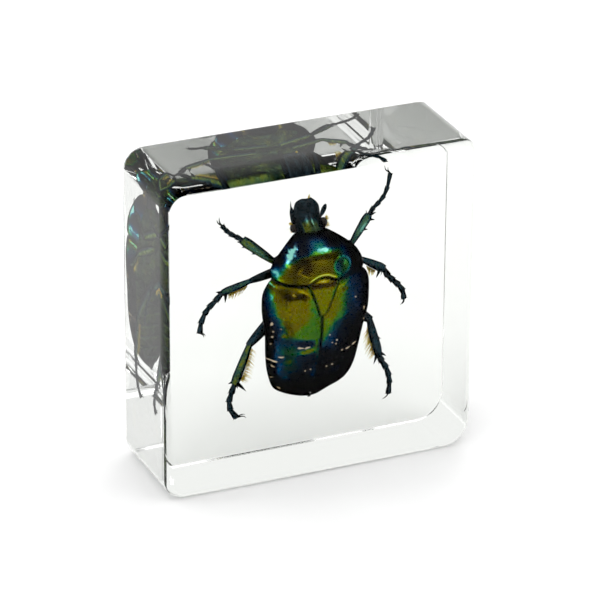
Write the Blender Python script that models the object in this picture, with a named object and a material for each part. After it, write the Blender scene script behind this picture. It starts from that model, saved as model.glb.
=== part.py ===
"""A flower chafer beetle sealed in a clear cast resin block that stands on its narrow edge.

Row frame: the origin is the middle of the base, +Z is up, +X is to the right as the block is looked at
from the front, and the front face looks along -Y. The beetle's back faces the front and its head is up.
"""
import math

import bmesh
import bpy
import numpy as np
from mathutils import Vector

MM = 0.001

# ---------------------------------------------------------------- the block's driving dimensions
BLOCK_WIDTH = 40.0 * MM
BLOCK_HEIGHT = 40.4 * MM
BLOCK_DEPTH = 14.4 * MM
CORNER_RADIUS = {"top_right": 1.8 * MM, "top_left": 2.8 * MM, "bottom_left": 2.4 * MM, "bottom_right": 3.5 * MM}
FRONT_FILLET = 0.75 * MM       # rounding of the edges round the front face
BACK_FILLET = 1.4 * MM         # the back was polished more, so its edges are rounder
PART_PLANE_Y = 3.45 * MM       # the halves meet on the plane in which the legs lie
PART_GAP = 0.2 * MM
CLEARANCE = 0.3 * MM           # between the beetle and the pocket round it
CORNER_STEPS = 5
FILLET_STEPS = 3
POCKET_SIDES = 6

# ---------------------------------------------------------------- the beetle's driving dimensions
# The body's middle line as the beetle is looked at: it bends a little, as dried specimens do.
MIDLINE = [(8.0, 0.50), (14.0, 0.85), (20.0, 1.00), (25.0, 1.10), (30.0, 0.60), (34.0, 0.20)]    # (height, x) in mm

# Body from the tip of the wing cases up to the front of the pronotum, in mm:
# (height, half width, back, side margin, belly), the last three as places along Y.
BODY = [
    (8.12, 0.70, 1.40, 1.70, 2.00),
    (8.35, 1.50, 1.00, 1.65, 2.30),
    (8.8, 2.60, 0.40, 1.55, 2.70),
    (9.6, 3.95, -0.75, 1.40, 3.00),
    (10.6, 4.85, -1.80, 1.30, 3.25),
    (12.0, 5.45, -2.75, 1.20, 3.50),
    (14.0, 5.90, -3.40, 1.15, 3.75),
    (16.5, 6.20, -3.75, 1.10, 3.95),
    (18.5, 6.35, -3.90, 1.10, 4.10),
    (20.5, 6.80, -3.95, 1.10, 4.20),
    (22.3, 6.95, -3.90, 1.10, 4.30),
    (23.7, 6.70, -3.80, 1.10, 4.25),
    (24.4, 5.80, -3.80, 1.10, 4.15),
    (25.6, 5.60, -3.75, 1.10, 4.00),
    (26.6, 5.05, -3.45, 1.10, 3.80),
    (27.6, 4.30, -2.90, 1.10, 3.60),
    (28.5, 3.50, -2.20, 1.20, 3.40),
    (29.2, 2.70, -1.50, 1.30, 3.20),
    (29.8, 1.80, -0.80, 1.40, 2.80),
]
BODY_SQUARENESS = 2.4          # 2 is an ellipse, more is boxier
BODY_SIDES = 32
BELLY_SHARE = 0.94             # the belly's width over the back's, which leaves a ledge along the side margin

# Head, from inside the pronotum to the front of its shield, in the same columns.
HEAD = [
    (28.9, 1.60, 0.10, 1.60, 2.90),
    (29.8, 2.00, 0.25, 1.60, 3.00),
    (30.8, 2.05, 0.60, 1.60, 2.95),
    (31.6, 1.70, 0.95, 1.75, 2.85),
    (32.4, 1.65, 1.25, 1.90, 2.80),
    (33.1, 1.50, 1.50, 2.00, 2.65),
    (33.6, 1.20, 1.70, 2.05, 2.50),
    (33.85, 0.80, 1.85, 2.10, 2.35),
]
HEAD_SIDES = 20
HEAD_NOTCH_DEPTH = 0.16        # the shallow notch in the middle of the shield's front edge
HEAD_NOTCH_WIDTH = 0.35

PRONOTUM_SEAM = 24.25          # height of the seam between the pronotum and the wing cases
SEAM_RISE = 0.75               # how far that seam arches up over the scutellum
SEAM_RISE_WIDTH = 1.3
SEAM_DEPTH = 0.22
SUTURE_DEPTH = 0.14            # the line where the wing cases meet
SUTURE_HALF_WIDTH = 0.16
BELLY_SEAMS = [10.2, 11.7, 13.2, 14.8, 16.4]     # heights of the seams between the belly's plates
BELLY_SEAM_DEPTH = 0.16
BELLY_SEAM_WIDTH = 0.22

SCUTELLUM_BASE_Z = 24.55
SCUTELLUM_TIP_Z = 20.0
SCUTELLUM_HALF_WIDTH = 2.0
SCUTELLUM_RAISE = 0.14

EYE_RADIUS = 0.62
EYE_SPREAD = 1.85              # from the head's middle to the eye's middle
EYE_Z = 30.45
EYE_Y = 1.75

# Legs, in mm. Each has its hip, its knee, the ankle and the route of the foot, then the two claw tips
# and the tips of the shin's teeth and spurs. Thigh and shin are their greatest widths.
LEGS = {
    "front_left": dict(
        hip=(0.3, 4.1, 26.7), knee=(-3.75, 3.1, 26.4), ankle=(-7.6, 3.6, 29.5), thigh=1.25, shin=1.30,
        foot=[(-8.35, 3.9, 29.9), (-9.05, 4.15, 30.35), (-9.55, 4.4, 30.85), (-9.95, 4.7, 31.4)],
        claws=[(-10.6, 4.8, 32.25), (-10.25, 4.85, 32.5)],
        teeth=[(-8.35, 3.6, 29.3), (-7.75, 3.6, 28.45), (-6.55, 3.4, 27.45)]),
    "front_right": dict(
        hip=(1.8, 4.1, 26.4), knee=(6.35, 3.1, 26.8), ankle=(8.7, 3.5, 29.95), thigh=1.25, shin=1.20,
        foot=[(9.3, 3.9, 30.7), (10.1, 4.1, 31.2), (10.8, 4.3, 31.85), (11.35, 4.6, 32.85), (11.65, 4.85, 34.0)],
        claws=[(11.15, 5.0, 35.6), (11.6, 5.0, 35.3)],
        teeth=[(9.7, 3.5, 30.1), (9.55, 3.5, 29.15), (8.6, 3.3, 28.1)]),
    "middle_left": dict(
        hip=(-1.2, 4.2, 24.85), knee=(-6.55, 3.2, 24.0), ankle=(-10.2, 3.7, 22.9), thigh=1.20, shin=0.90,
        foot=[(-10.95, 4.05, 22.0), (-11.75, 4.3, 21.2), (-12.25, 4.5, 20.4), (-12.6, 4.7, 19.2), (-12.65, 4.8, 18.15)],
        claws=[(-12.1, 4.8, 17.35), (-12.25, 5.0, 17.15)],
        teeth=[(-11.05, 3.7, 23.25), (-9.75, 4.0, 21.5)]),
    "middle_right": dict(
        hip=(3.4, 4.2, 24.6), knee=(7.95, 3.1, 24.15), ankle=(10.85, 3.7, 22.4), thigh=1.20, shin=0.95,
        foot=[(11.55, 4.1, 21.3), (12.3, 4.3, 20.5), (13.1, 4.5, 19.7), (13.75, 4.7, 18.75), (13.95, 4.85, 17.65)],
        claws=[(13.45, 4.8, 16.85), (13.8, 5.0, 16.85)],
        teeth=[(11.25, 3.7, 22.75), (9.95, 4.0, 21.25)]),
    "hind_left": dict(
        hip=(-1.6, 4.2, 20.2), knee=(-6.9, 3.1, 15.8), ankle=(-8.8, 3.6, 10.7), thigh=1.60, shin=1.15,
        foot=[(-8.95, 4.0, 9.4), (-9.15, 4.3, 8.25), (-8.8, 4.6, 7.0), (-8.0, 4.8, 5.9)],
        claws=[(-6.95, 4.9, 5.9), (-6.8, 4.9, 5.45)],
        teeth=[(-7.0, 4.1, 9.25), (-9.5, 3.6, 10.85)]),
    "hind_right": dict(
        hip=(3.8, 4.2, 20.0), knee=(8.9, 3.1, 16.25), ankle=(10.3, 3.6, 11.2), thigh=1.60, shin=1.05,
        foot=[(10.9, 4.05, 9.95), (11.55, 4.25, 8.9), (12.0, 4.5, 7.65), (12.15, 4.65, 6.6), (12.05, 4.8, 5.45)],
        claws=[(11.25, 4.9, 4.5), (11.5, 5.0, 4.6)],
        teeth=[(9.8, 4.05, 9.7), (11.35, 3.6, 10.7)]),
}
THIGH_THICKNESS = 1.00
SHIN_THICKNESS = 0.75
FOOT_WIDTH = 0.60
CLAW_WIDTH = 0.20
LEG_SIDES = 8
FOOT_SIDES = 5

# Antennae: the club at each end of the head, as base and tip in mm.
ANTENNA_CLUBS = {"left": ((-1.55, 2.0, 30.9), (-1.65, 2.0, 33.0)), "right": ((2.1, 2.0, 31.3), (2.75, 2.2, 32.6))}
ANTENNA_WIDTH = 0.50


def clear_scene():
    """Removes every object that is in the scene."""
    for old in list(bpy.data.objects):
        bpy.data.objects.remove(old, do_unlink=True)


def material(name, colour, roughness, metallic=0.0, transmission=0.0):
    """A plain material with the piece's colour and finish."""
    made = bpy.data.materials.new(name)
    made.use_nodes = True
    shader = made.node_tree.nodes["Principled BSDF"]
    shader.inputs["Base Color"].default_value = (*colour, 1.0)
    shader.inputs["Roughness"].default_value = roughness
    shader.inputs["Metallic"].default_value = metallic
    shader.inputs["Transmission Weight"].default_value = transmission
    made.diffuse_color = (*colour, 1.0)
    return made


def smooth(table, height):
    """Values of a table at any height, on a smooth curve through its rows (a cubic with the rows' own slopes)."""
    rows = np.array(table, float)
    z, values = rows[:, 0], rows[:, 1:]
    slopes = np.gradient(values, z, axis=0)
    i = int(np.clip(np.searchsorted(z, height) - 1, 0, len(z) - 2))
    span = z[i + 1] - z[i]
    t = np.clip((height - z[i]) / span, 0.0, 1.0)
    a = 2 * t**3 - 3 * t**2 + 1
    b = t**3 - 2 * t**2 + t
    c = -2 * t**3 + 3 * t**2
    d = t**3 - t**2
    return a * values[i] + b * span * slopes[i] + c * values[i + 1] + d * span * slopes[i + 1]


def midline(height):
    """The x of the body's middle at a height."""
    return float(smooth(MIDLINE, height)[0])


def loft(name, rings):
    """A closed solid through rings of points that each go the same way round, with a flat cap on each end."""
    shape = bmesh.new()
    loops = [[shape.verts.new(Vector(point)) for point in ring] for ring in rings]
    count = len(loops[0])
    for low, high in zip(loops, loops[1:]):
        for k in range(count):
            shape.faces.new((low[k], low[(k + 1) % count], high[(k + 1) % count], high[k]))
    shape.faces.new(loops[0])
    shape.faces.new(loops[-1])
    bmesh.ops.recalc_face_normals(shape, faces=shape.faces)
    mesh = bpy.data.meshes.new(name)
    shape.to_mesh(mesh)
    shape.free()
    piece = bpy.data.objects.new(name, mesh)
    bpy.context.collection.objects.link(piece)
    return piece


def combine(target, cutter, operation):
    """Adds a Boolean to the target, and makes the other piece a guide that isn't part of the model."""
    step = target.modifiers.new(cutter.name, "BOOLEAN")
    step.operation = operation
    step.object = cutter
    cutter.hide_render = True
    cutter.display_type = "WIRE"


# ---------------------------------------------------------------- block
def rounded_outline(y, inset):
    """Points round the block's outline at a depth y, set in from it by inset, one arc for each corner."""
    half_w, half_h = BLOCK_WIDTH / 2 - inset, BLOCK_HEIGHT / 2 - inset
    corners = [("top_right", 1, 1), ("top_left", -1, 1), ("bottom_left", -1, -1), ("bottom_right", 1, -1)]
    points = []
    for number, (name, side, up) in enumerate(corners):
        radius = CORNER_RADIUS[name] - inset
        for step in range(CORNER_STEPS + 1):
            angle = math.pi / 2 * (number + step / CORNER_STEPS)
            x = side * (half_w - radius) + radius * math.cos(angle)
            z = BLOCK_HEIGHT / 2 + up * (half_h - radius) + radius * math.sin(angle)
            points.append((x, y, z))
    return points


def fillet_rings(face_y, into, radius):
    """Outlines from a face's flat part round its edge to the full outline; into is +1 or -1 along Y."""
    rings = []
    for step in range(FILLET_STEPS + 1):
        angle = math.pi / 2 * step / FILLET_STEPS
        inset = radius * (1 - math.sin(angle))
        y = face_y + into * radius * (1 - math.cos(angle))
        rings.append(rounded_outline(y, inset))
    return rings


def build_block_halves():
    """The front and the back half of the block, still without a pocket."""
    front_face, back_face = -BLOCK_DEPTH / 2, BLOCK_DEPTH / 2
    front = fillet_rings(front_face, 1, FRONT_FILLET)
    front.append(rounded_outline(PART_PLANE_Y - PART_GAP / 2, 0.0))
    back = fillet_rings(back_face, -1, BACK_FILLET)
    back.append(rounded_outline(PART_PLANE_Y + PART_GAP / 2, 0.0))
    return loft("resin_front", front), loft("resin_back", back)


# ---------------------------------------------------------------- beetle
def section(height, table, sides, grow=0.0):
    """One ring round the body or head, in mm: a boxy ellipse whose back and belly have their own heights."""
    half_width, back, margin, belly = smooth(table, height)
    power = 2.0 / BODY_SQUARENESS
    ring = []
    for k in range(sides):
        angle = 2 * math.pi * k / sides
        across = math.copysign(abs(math.cos(angle)) ** power, math.cos(angle))
        up = math.copysign(abs(math.sin(angle)) ** power, math.sin(angle))
        if up < -0.01:
            across *= BELLY_SHARE
        depth = (margin - back if up > 0 else belly - margin) + grow
        ring.append([midline(height) + (half_width + grow) * across, margin - depth * up, height])
    return ring


def with_suture_sides(ring):
    """The ring with one point more on each side of the middle of the back, close to it."""
    top = min(range(len(ring)), key=lambda k: ring[k][1])
    x, y, z = ring[top]
    reach = min(SUTURE_HALF_WIDTH, 0.4 * abs(ring[top - 1][0] - x))
    return ring[:top] + [[x + reach, y, z], ring[top], [x - reach, y, z]] + ring[top + 1:]


def seam_arch(across, height):
    """How far the seam in front of the scutellum lifts the rings near it, in mm."""
    fade = math.exp(-(((height - PRONOTUM_SEAM) / 1.2) ** 2))
    return SEAM_RISE * fade * math.exp(-((across / SEAM_RISE_WIDTH) ** 2))


def body_rings():
    """Rings of the body with the pronotum's seam, the suture of the wing cases and the belly's seams pressed in."""
    plain = [8.12, 8.35, 8.7, 9.3, 11.0, 12.4, 14.0, 15.6, 17.4, 18.8, 20.2, 21.6, 22.8, 23.6]
    plain += [25.0, 25.8, 26.6, 27.4, 28.1, 28.7, 29.2, 29.55, 29.8]
    beside_seam = [PRONOTUM_SEAM - 0.2, PRONOTUM_SEAM, PRONOTUM_SEAM + 0.2]
    belly = [seam + offset for seam in BELLY_SEAMS for offset in (0.0, BELLY_SEAM_WIDTH)]
    rings = []
    for height in sorted(plain + beside_seam + belly):
        pressed = SEAM_DEPTH if height == PRONOTUM_SEAM else 0.0
        middle = midline(height)
        margin = smooth(BODY, height)[2]
        ring = with_suture_sides(section(height, BODY, BODY_SIDES, grow=-pressed))
        for point in ring:
            across = point[0] - middle
            if point[1] < margin:
                point[2] += seam_arch(across, height)
                if abs(across) < 0.05 and height < SCUTELLUM_TIP_Z and height > BODY[0][0]:
                    point[1] += SUTURE_DEPTH
            elif height in BELLY_SEAMS and abs(across) < 4.5:
                point[1] -= BELLY_SEAM_DEPTH
        rings.append([(x * MM, y * MM, z * MM) for x, y, z in ring])
    return rings


def build_scutellum():
    """The small shield between the wing cases: a rounded triangle that lies just proud of the body's back."""
    heights = [SCUTELLUM_TIP_Z + (SCUTELLUM_BASE_Z - SCUTELLUM_TIP_Z) * t for t in (0.0, 0.05, 0.2, 0.5, 0.8, 1.0)]
    rings = []
    for height in heights:
        share = (height - SCUTELLUM_TIP_Z) / (SCUTELLUM_BASE_Z - SCUTELLUM_TIP_Z)
        half = SCUTELLUM_HALF_WIDTH * (0.16 + 0.84 * share**0.8)
        half_width, back, margin, _ = smooth(BODY, height)
        ring = []
        for across in (-1.0, -0.5, 0.0, 0.5, 1.0):
            flank = (1 - (abs(across * half) / half_width) ** BODY_SQUARENESS) ** (1 / BODY_SQUARENESS)
            rise = SCUTELLUM_RAISE * (1 - 0.6 * across**2)
            ring.append((midline(height) + across * half, margin - (margin - back) * flank - rise, height))
        ring += [(x, y + 0.6, z) for x, y, z in reversed(ring)]
        rings.append([(x * MM, y * MM, z * MM) for x, y, z in ring])
    return loft("scutellum", rings)


def tube(name, route, widths, thicknesses, sides):
    """A tapered limb along a route in mm; its width lies across the limb in the plane of the block's face."""
    points = [Vector(point) for point in route]
    rings = []
    for i, point in enumerate(points):
        along = (points[min(i + 1, len(points) - 1)] - points[max(i - 1, 0)]).normalized()
        across = along.cross(Vector((0.0, 1.0, 0.0))).normalized()
        upright = across.cross(along).normalized()
        ring = []
        for k in range(sides):
            angle = 2 * math.pi * (k + 0.5) / sides
            offset = across * (widths[i] / 2 * math.cos(angle)) + upright * (thicknesses[i] / 2 * math.sin(angle))
            ring.append(tuple((point + offset) * MM))
        rings.append(ring)
    return loft(name, rings)


def along(start, end, shares):
    """Points between two ends."""
    a, b = Vector(start), Vector(end)
    return [a.lerp(b, share) for share in shares]


def foot_route(leg):
    """The ankle and the route of the foot through its joints, with a point between each two."""
    joints = [Vector(leg["ankle"])] + [Vector(point) for point in leg["foot"]]
    route = [joints[0]]
    for a, b in zip(joints, joints[1:]):
        route += [a.lerp(b, 0.62), b]
    return route


def tooth_root(leg, tip):
    """Where a tooth or spur of the shin grows from: on the shin's axis, a little above the tooth's tip."""
    knee, ankle = Vector(leg["knee"]), Vector(leg["ankle"])
    shin_line = ankle - knee
    reach = (Vector(tip) - knee).dot(shin_line) / shin_line.length_squared
    return knee.lerp(ankle, min(reach - 0.12, 0.92))


def build_leg(name, leg):
    """The solids of one leg: thigh, shin, its teeth and spurs, foot and claws."""
    thigh_widths = [leg["thigh"] * s for s in (0.7, 1.0, 1.0, 0.8, 0.55)]
    thigh_thick = [THIGH_THICKNESS * s for s in (0.8, 1.0, 1.0, 0.9, 0.7)]
    solids = [tube(name + "_thigh", along(leg["hip"], leg["knee"], (0, 0.25, 0.6, 0.88, 1.05)),
                   thigh_widths, thigh_thick, LEG_SIDES)]
    shin_widths = [leg["shin"] * s for s in (0.5, 0.85, 1.0, 1.0, 0.8)]
    shin_thick = [SHIN_THICKNESS * s for s in (0.8, 1.0, 1.0, 1.0, 0.8)]
    solids.append(tube(name + "_shin", along(leg["knee"], leg["ankle"], (-0.03, 0.25, 0.55, 0.88, 1.0)),
                       shin_widths, shin_thick, LEG_SIDES))
    route = foot_route(leg)
    foot_widths = [FOOT_WIDTH * (1.0 if k % 2 else 0.72) * (1 - 0.02 * k) for k in range(len(route))]
    solids.append(tube(name + "_foot", route, foot_widths, foot_widths, FOOT_SIDES))
    for number, tip in enumerate(leg["teeth"]):
        solids.append(tube("%s_tooth_%d" % (name, number), along(tooth_root(leg, tip), tip, (0.0, 0.6, 1.0)),
                           [0.55, 0.38, 0.08], [0.45, 0.3, 0.08], 4))
    toe = route[-1]
    for number, tip in enumerate(leg["claws"]):
        bulge = (Vector(tip) - toe).cross(Vector((0, 1, 0))) * 0.12
        middle = toe.lerp(Vector(tip), 0.55) + bulge
        root = toe + (route[-2] - toe) * 0.3
        solids.append(tube("%s_claw_%d" % (name, number), [root, toe, middle, Vector(tip)],
                           [CLAW_WIDTH * s for s in (1.0, 1.2, 0.9, 0.3)],
                           [CLAW_WIDTH * s for s in (1.0, 1.2, 0.9, 0.3)], 4))
    return solids


def build_eye(side):
    """One eye, a bead on the side of the head."""
    shape = bmesh.new()
    bmesh.ops.create_uvsphere(shape, u_segments=8, v_segments=6, radius=EYE_RADIUS * MM)
    centre = Vector((midline(EYE_Z) - 0.15 + side * EYE_SPREAD, EYE_Y, EYE_Z)) * MM
    bmesh.ops.translate(shape, vec=centre, verts=shape.verts)
    mesh = bpy.data.meshes.new("eye")
    shape.to_mesh(mesh)
    shape.free()
    eye = bpy.data.objects.new("eye_%s" % ("left" if side < 0 else "right"), mesh)
    bpy.context.collection.objects.link(eye)
    return eye


def build_antenna(name, ends, grow=0.0):
    """One antenna's club, a flat leaf-shaped rod."""
    widths = [ANTENNA_WIDTH * s + 2 * grow for s in (0.4, 0.9, 1.0, 0.35)]
    past = grow / (Vector(ends[1]) - Vector(ends[0])).length
    return tube("antenna_" + name, along(*ends, (0.0, 0.25, 0.75, 1.0 + past)), widths, widths, 6)


def build_head():
    """The head, whose front edge has a shallow notch in its middle."""
    rings = []
    for height, *_ in HEAD:
        ring = section(height, HEAD, HEAD_SIDES)
        for point in ring:
            if height > 33.0:
                across = (point[0] - midline(height)) / HEAD_NOTCH_WIDTH
                point[2] -= HEAD_NOTCH_DEPTH * math.exp(-(across**2))
        rings.append([(x * MM, y * MM, z * MM) for x, y, z in ring])
    return loft("head", rings)


def build_beetle():
    """The whole beetle as one solid: the body with every other form fused to it."""
    beetle = loft("beetle", body_rings())
    forms = [build_scutellum(), build_head(), build_eye(-1), build_eye(1)]
    forms += [build_antenna(name, ends) for name, ends in ANTENNA_CLUBS.items()]
    for name, leg in LEGS.items():
        forms += build_leg(name, leg)
    for form in forms:
        combine(beetle, form, "UNION")
    return beetle


# ---------------------------------------------------------------- pocket
def pocket_shell(name, table, heights, sides, extra):
    """A coarse copy of the body or the head that is larger all round by the clearance, and extra for its flats."""
    grow = CLEARANCE / MM
    rings = []
    for height in [heights[0] - grow] + list(heights[1:-1]) + [heights[-1] + grow]:
        ring = section(height, table, sides, grow + extra)
        rings.append([(x * MM, y * MM, z * MM) for x, y, z in ring])
    return loft(name, rings)


def pocket_leg(name, leg):
    """Coarse tubes round one leg's thigh, shin, teeth and foot, the last wide enough for the claws."""
    wide = 2 * CLEARANCE / MM
    thigh = tube(name + "_thigh", along(leg["hip"], leg["knee"], (-0.10, 0.25, 0.7, 1.14)),
                 [leg["thigh"] * s + wide + 0.2 for s in (0.85, 1.0, 1.0, 0.55)],
                 [THIGH_THICKNESS * s + wide + 0.25 for s in (0.9, 1.0, 1.0, 0.7)], POCKET_SIDES)
    shin = tube(name + "_shin", along(leg["knee"], leg["ankle"], (-0.12, 0.3, 0.85, 1.12)),
                [leg["shin"] * s + wide + 0.15 for s in (0.6, 1.05, 1.15, 0.9)],
                [SHIN_THICKNESS * s + wide + 0.15 for s in (0.8, 1.0, 1.1, 1.0)], POCKET_SIDES)
    teeth = []
    for number, tip in enumerate(leg["teeth"]):
        root = tooth_root(leg, tip)
        past = 1.0 + CLEARANCE / MM / (Vector(tip) - root).length
        teeth.append(tube("%s_tooth_%d" % (name, number), along(root, tip, (0.0, past)), [0.52 + wide, 0.32 + wide],
                          [0.4 + wide, 0.3 + wide], 4))
    ends = [Vector(tip) for tip in leg["claws"]]
    tip = (ends[0] + ends[1]) / 2
    route = [Vector(leg["ankle"])] + [Vector(point) for point in leg["foot"]]
    heading = (tip - route[-1]).normalized()
    route += [tip + heading * (CLEARANCE / MM + 0.1)]
    spread = (ends[0] - ends[1]).length
    widths = [FOOT_WIDTH + wide + 0.12] * (len(route) - 1) + [CLAW_WIDTH + spread + wide]
    widths[-2] += 0.35
    foot = tube(name + "_foot", route, widths, widths, POCKET_SIDES)
    return [thigh, shin, foot] + teeth


def pocket_forms(name):
    """The forms that together make the pocket in one half of the block."""
    forms = [pocket_shell(name + "_body", BODY, (8.12, 8.8, 9.6, 11.0, 13.0, 16.0, 19.0, 21.4, 23.4, 24.6, 26.2,
                                                 27.8, 29.0, 29.8), 20, 0.15),
             pocket_shell(name + "_head", HEAD, (28.9, 30.4, 31.6, 32.6, 33.85), 12, 0.45)]
    for side, ends in ANTENNA_CLUBS.items():
        forms.append(build_antenna("%s_%s" % (name, side), ends, CLEARANCE / MM))
    for limb, leg in LEGS.items():
        forms += pocket_leg("%s_%s" % (name, limb), leg)
    return forms


def main():
    """Builds the block's halves and the beetle, and cuts the pocket."""
    clear_scene()
    resin = material("resin", (0.95, 0.97, 0.96), 0.02, transmission=1.0)
    cuticle = material("cuticle", (0.10, 0.22, 0.05), 0.2, metallic=0.8)
    front, back = build_block_halves()
    beetle = build_beetle()
    beetle.data.materials.append(cuticle)
    for half in (front, back):
        half.data.materials.append(resin)
        for form in pocket_forms(half.name + "_pocket"):
            combine(half, form, "DIFFERENCE")


main()
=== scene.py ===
"""A green flower chafer sealed in a clear cast resin block, dressed and lit as a studio picture.

The block stands on its narrow edge and its front looks along -Y, as the beetle's back does. X runs to the
right and Z up. Sizes of block and beetle are in millimetres, which make_piece turns into metres.
"""
import logging
import math
from dataclasses import dataclass, field
from enum import Enum

import bmesh
import bpy
import numpy as np
from mathutils import Matrix, Vector


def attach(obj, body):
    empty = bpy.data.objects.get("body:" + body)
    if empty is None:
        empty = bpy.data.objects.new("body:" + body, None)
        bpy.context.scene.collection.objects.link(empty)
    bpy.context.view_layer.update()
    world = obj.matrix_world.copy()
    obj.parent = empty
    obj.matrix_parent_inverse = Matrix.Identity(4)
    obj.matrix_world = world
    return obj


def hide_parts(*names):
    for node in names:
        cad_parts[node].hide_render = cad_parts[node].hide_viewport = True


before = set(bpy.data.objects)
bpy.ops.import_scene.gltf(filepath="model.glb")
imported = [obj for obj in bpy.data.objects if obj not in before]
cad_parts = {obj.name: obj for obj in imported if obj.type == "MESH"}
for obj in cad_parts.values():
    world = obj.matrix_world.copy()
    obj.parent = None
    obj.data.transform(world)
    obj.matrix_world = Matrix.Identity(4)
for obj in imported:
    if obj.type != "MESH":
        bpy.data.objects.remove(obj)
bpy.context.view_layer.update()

LOG = logging.getLogger("scene")
MM = 0.001
Array = np.ndarray
Material, Tree = bpy.types.Material, bpy.types.NodeTree


class Side(Enum):
    """Which side of the beetle a piece is on, as the picture is looked at."""

    LEFT = -1
    RIGHT = 1


# ---------------------------------------------------------------- arrays
def natural_spline(knots: Array, values: Array, at: Array) -> Array:
    """A cubic spline whose second derivative runs on through the knots, so that reflections flow.

    Formula: between two knots the value is a*v0 + b*v1 + ((a^3 - a)*m0 + (b^3 - b)*m1) * h^2 / 6, where
    b is the share of the way, a = 1 - b, and the second derivatives m solve the spline's linear equations
    with m = 0 at both ends.

    Args:
        knots: rising parameter of each row, (n,).
        values: the rows, (n, k).
        at: parameters of any shape; past the ends the end value is kept.

    Returns:
        The values, with the shape of at and one more axis of k.
    """
    knots, values = np.asarray(knots, float), np.asarray(values, float)
    count, h = len(knots), np.diff(knots)
    system, right = np.eye(count), np.zeros_like(values)
    rows = np.arange(1, count - 1)
    system[rows, rows - 1], system[rows, rows], system[rows, rows + 1] = h[:-1], 2 * (h[:-1] + h[1:]), h[1:]
    slopes = np.diff(values, axis=0) / h[:, None]
    right[1:-1] = 6 * (slopes[1:] - slopes[:-1])
    bends = np.linalg.solve(system, right)
    at = np.clip(np.asarray(at, float), knots[0], knots[-1])
    i = np.clip(np.searchsorted(knots, at) - 1, 0, count - 2)
    step = h[i]
    b = ((at - knots[i]) / step)[..., None]
    a = 1 - b
    step = step[..., None]
    bent = ((a**3 - a) * bends[i] + (b**3 - b) * bends[i + 1]) * step**2 / 6
    return a * values[i] + b * values[i + 1] + bent


def bump_of(distance: Array, width: float) -> Array:
    """A bell of height one at distance zero: exp(-(distance / width)^2)."""
    return np.exp(-((distance / width) ** 2))


def ease(value: Array) -> Array:
    """Runs smoothly from 0 to 1 while the value does: 3t^2 - 2t^3, held outside."""
    t = np.clip(value, 0.0, 1.0)
    return t * t * (3 - 2 * t)


def wobble(x: Array, z: Array, size: float, seed: float) -> Array:
    """A soft irregular field between about -1 and 1, made of crossed sine waves.

    Formula: the mean of four sines whose directions turn by 2.4 radians and whose waves shorten by 1.37,
    each bent by the one before.

    Args:
        x, z: places in mm.
        size: length of the longest wave in mm.
        seed: phase that makes one field differ from another.

    Returns:
        The field at each place.
    """
    total, turn, wave = np.zeros_like(x), seed, 2 * math.pi / size
    for octave in range(4):
        phase = wave * (x * math.cos(turn) + z * math.sin(turn)) + 1.7 * total + seed * (octave + 1)
        total = total + np.sin(phase)
        turn, wave = turn + 2.4, wave * 1.37
    return total / 2.6


def towards(start: Array | float, goal: Array | float, share: Array | float) -> Array:
    """Values moved from a start towards a goal by a share of the way."""
    return start + (goal - start) * share


def boxed(value: Array, power: float) -> Array:
    """A cosine or sine raised to 2 / power with its sign kept: power 2 gives an ellipse, more is boxier."""
    return np.sign(value) * np.abs(value) ** (2 / power)


def round_angles(sides: int) -> Array:
    """Even angles once round a ring, without the one that closes it."""
    return np.linspace(0.0, 2 * math.pi, sides, endpoint=False)


def unit(ways: Array) -> Array:
    """Directions at length one."""
    return ways / np.maximum(np.linalg.norm(ways, axis=-1, keepdims=True), 1e-12)


def normals_of(grid: Array) -> Array:
    """Unit normals of a grid of points, from the cross product of its two directions' differences."""
    return unit(np.cross(np.gradient(grid, axis=0), np.gradient(grid, axis=1)))


def cells_of(number: Array) -> Array:
    """The quads of a grid of corner numbers, (cells, 4)."""
    return np.stack([number[:-1, :-1], number[1:, :-1], number[1:, 1:], number[:-1, 1:]], -1).reshape(-1, 4)


def crowded(count: int, share: float) -> Array:
    """Steps from 0 to 1 that crowd towards both ends: t - share * sin(2 pi t) / (2 pi)."""
    t = np.linspace(0.0, 1.0, count)
    return t - share * np.sin(2 * math.pi * t) / (2 * math.pi)


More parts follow.
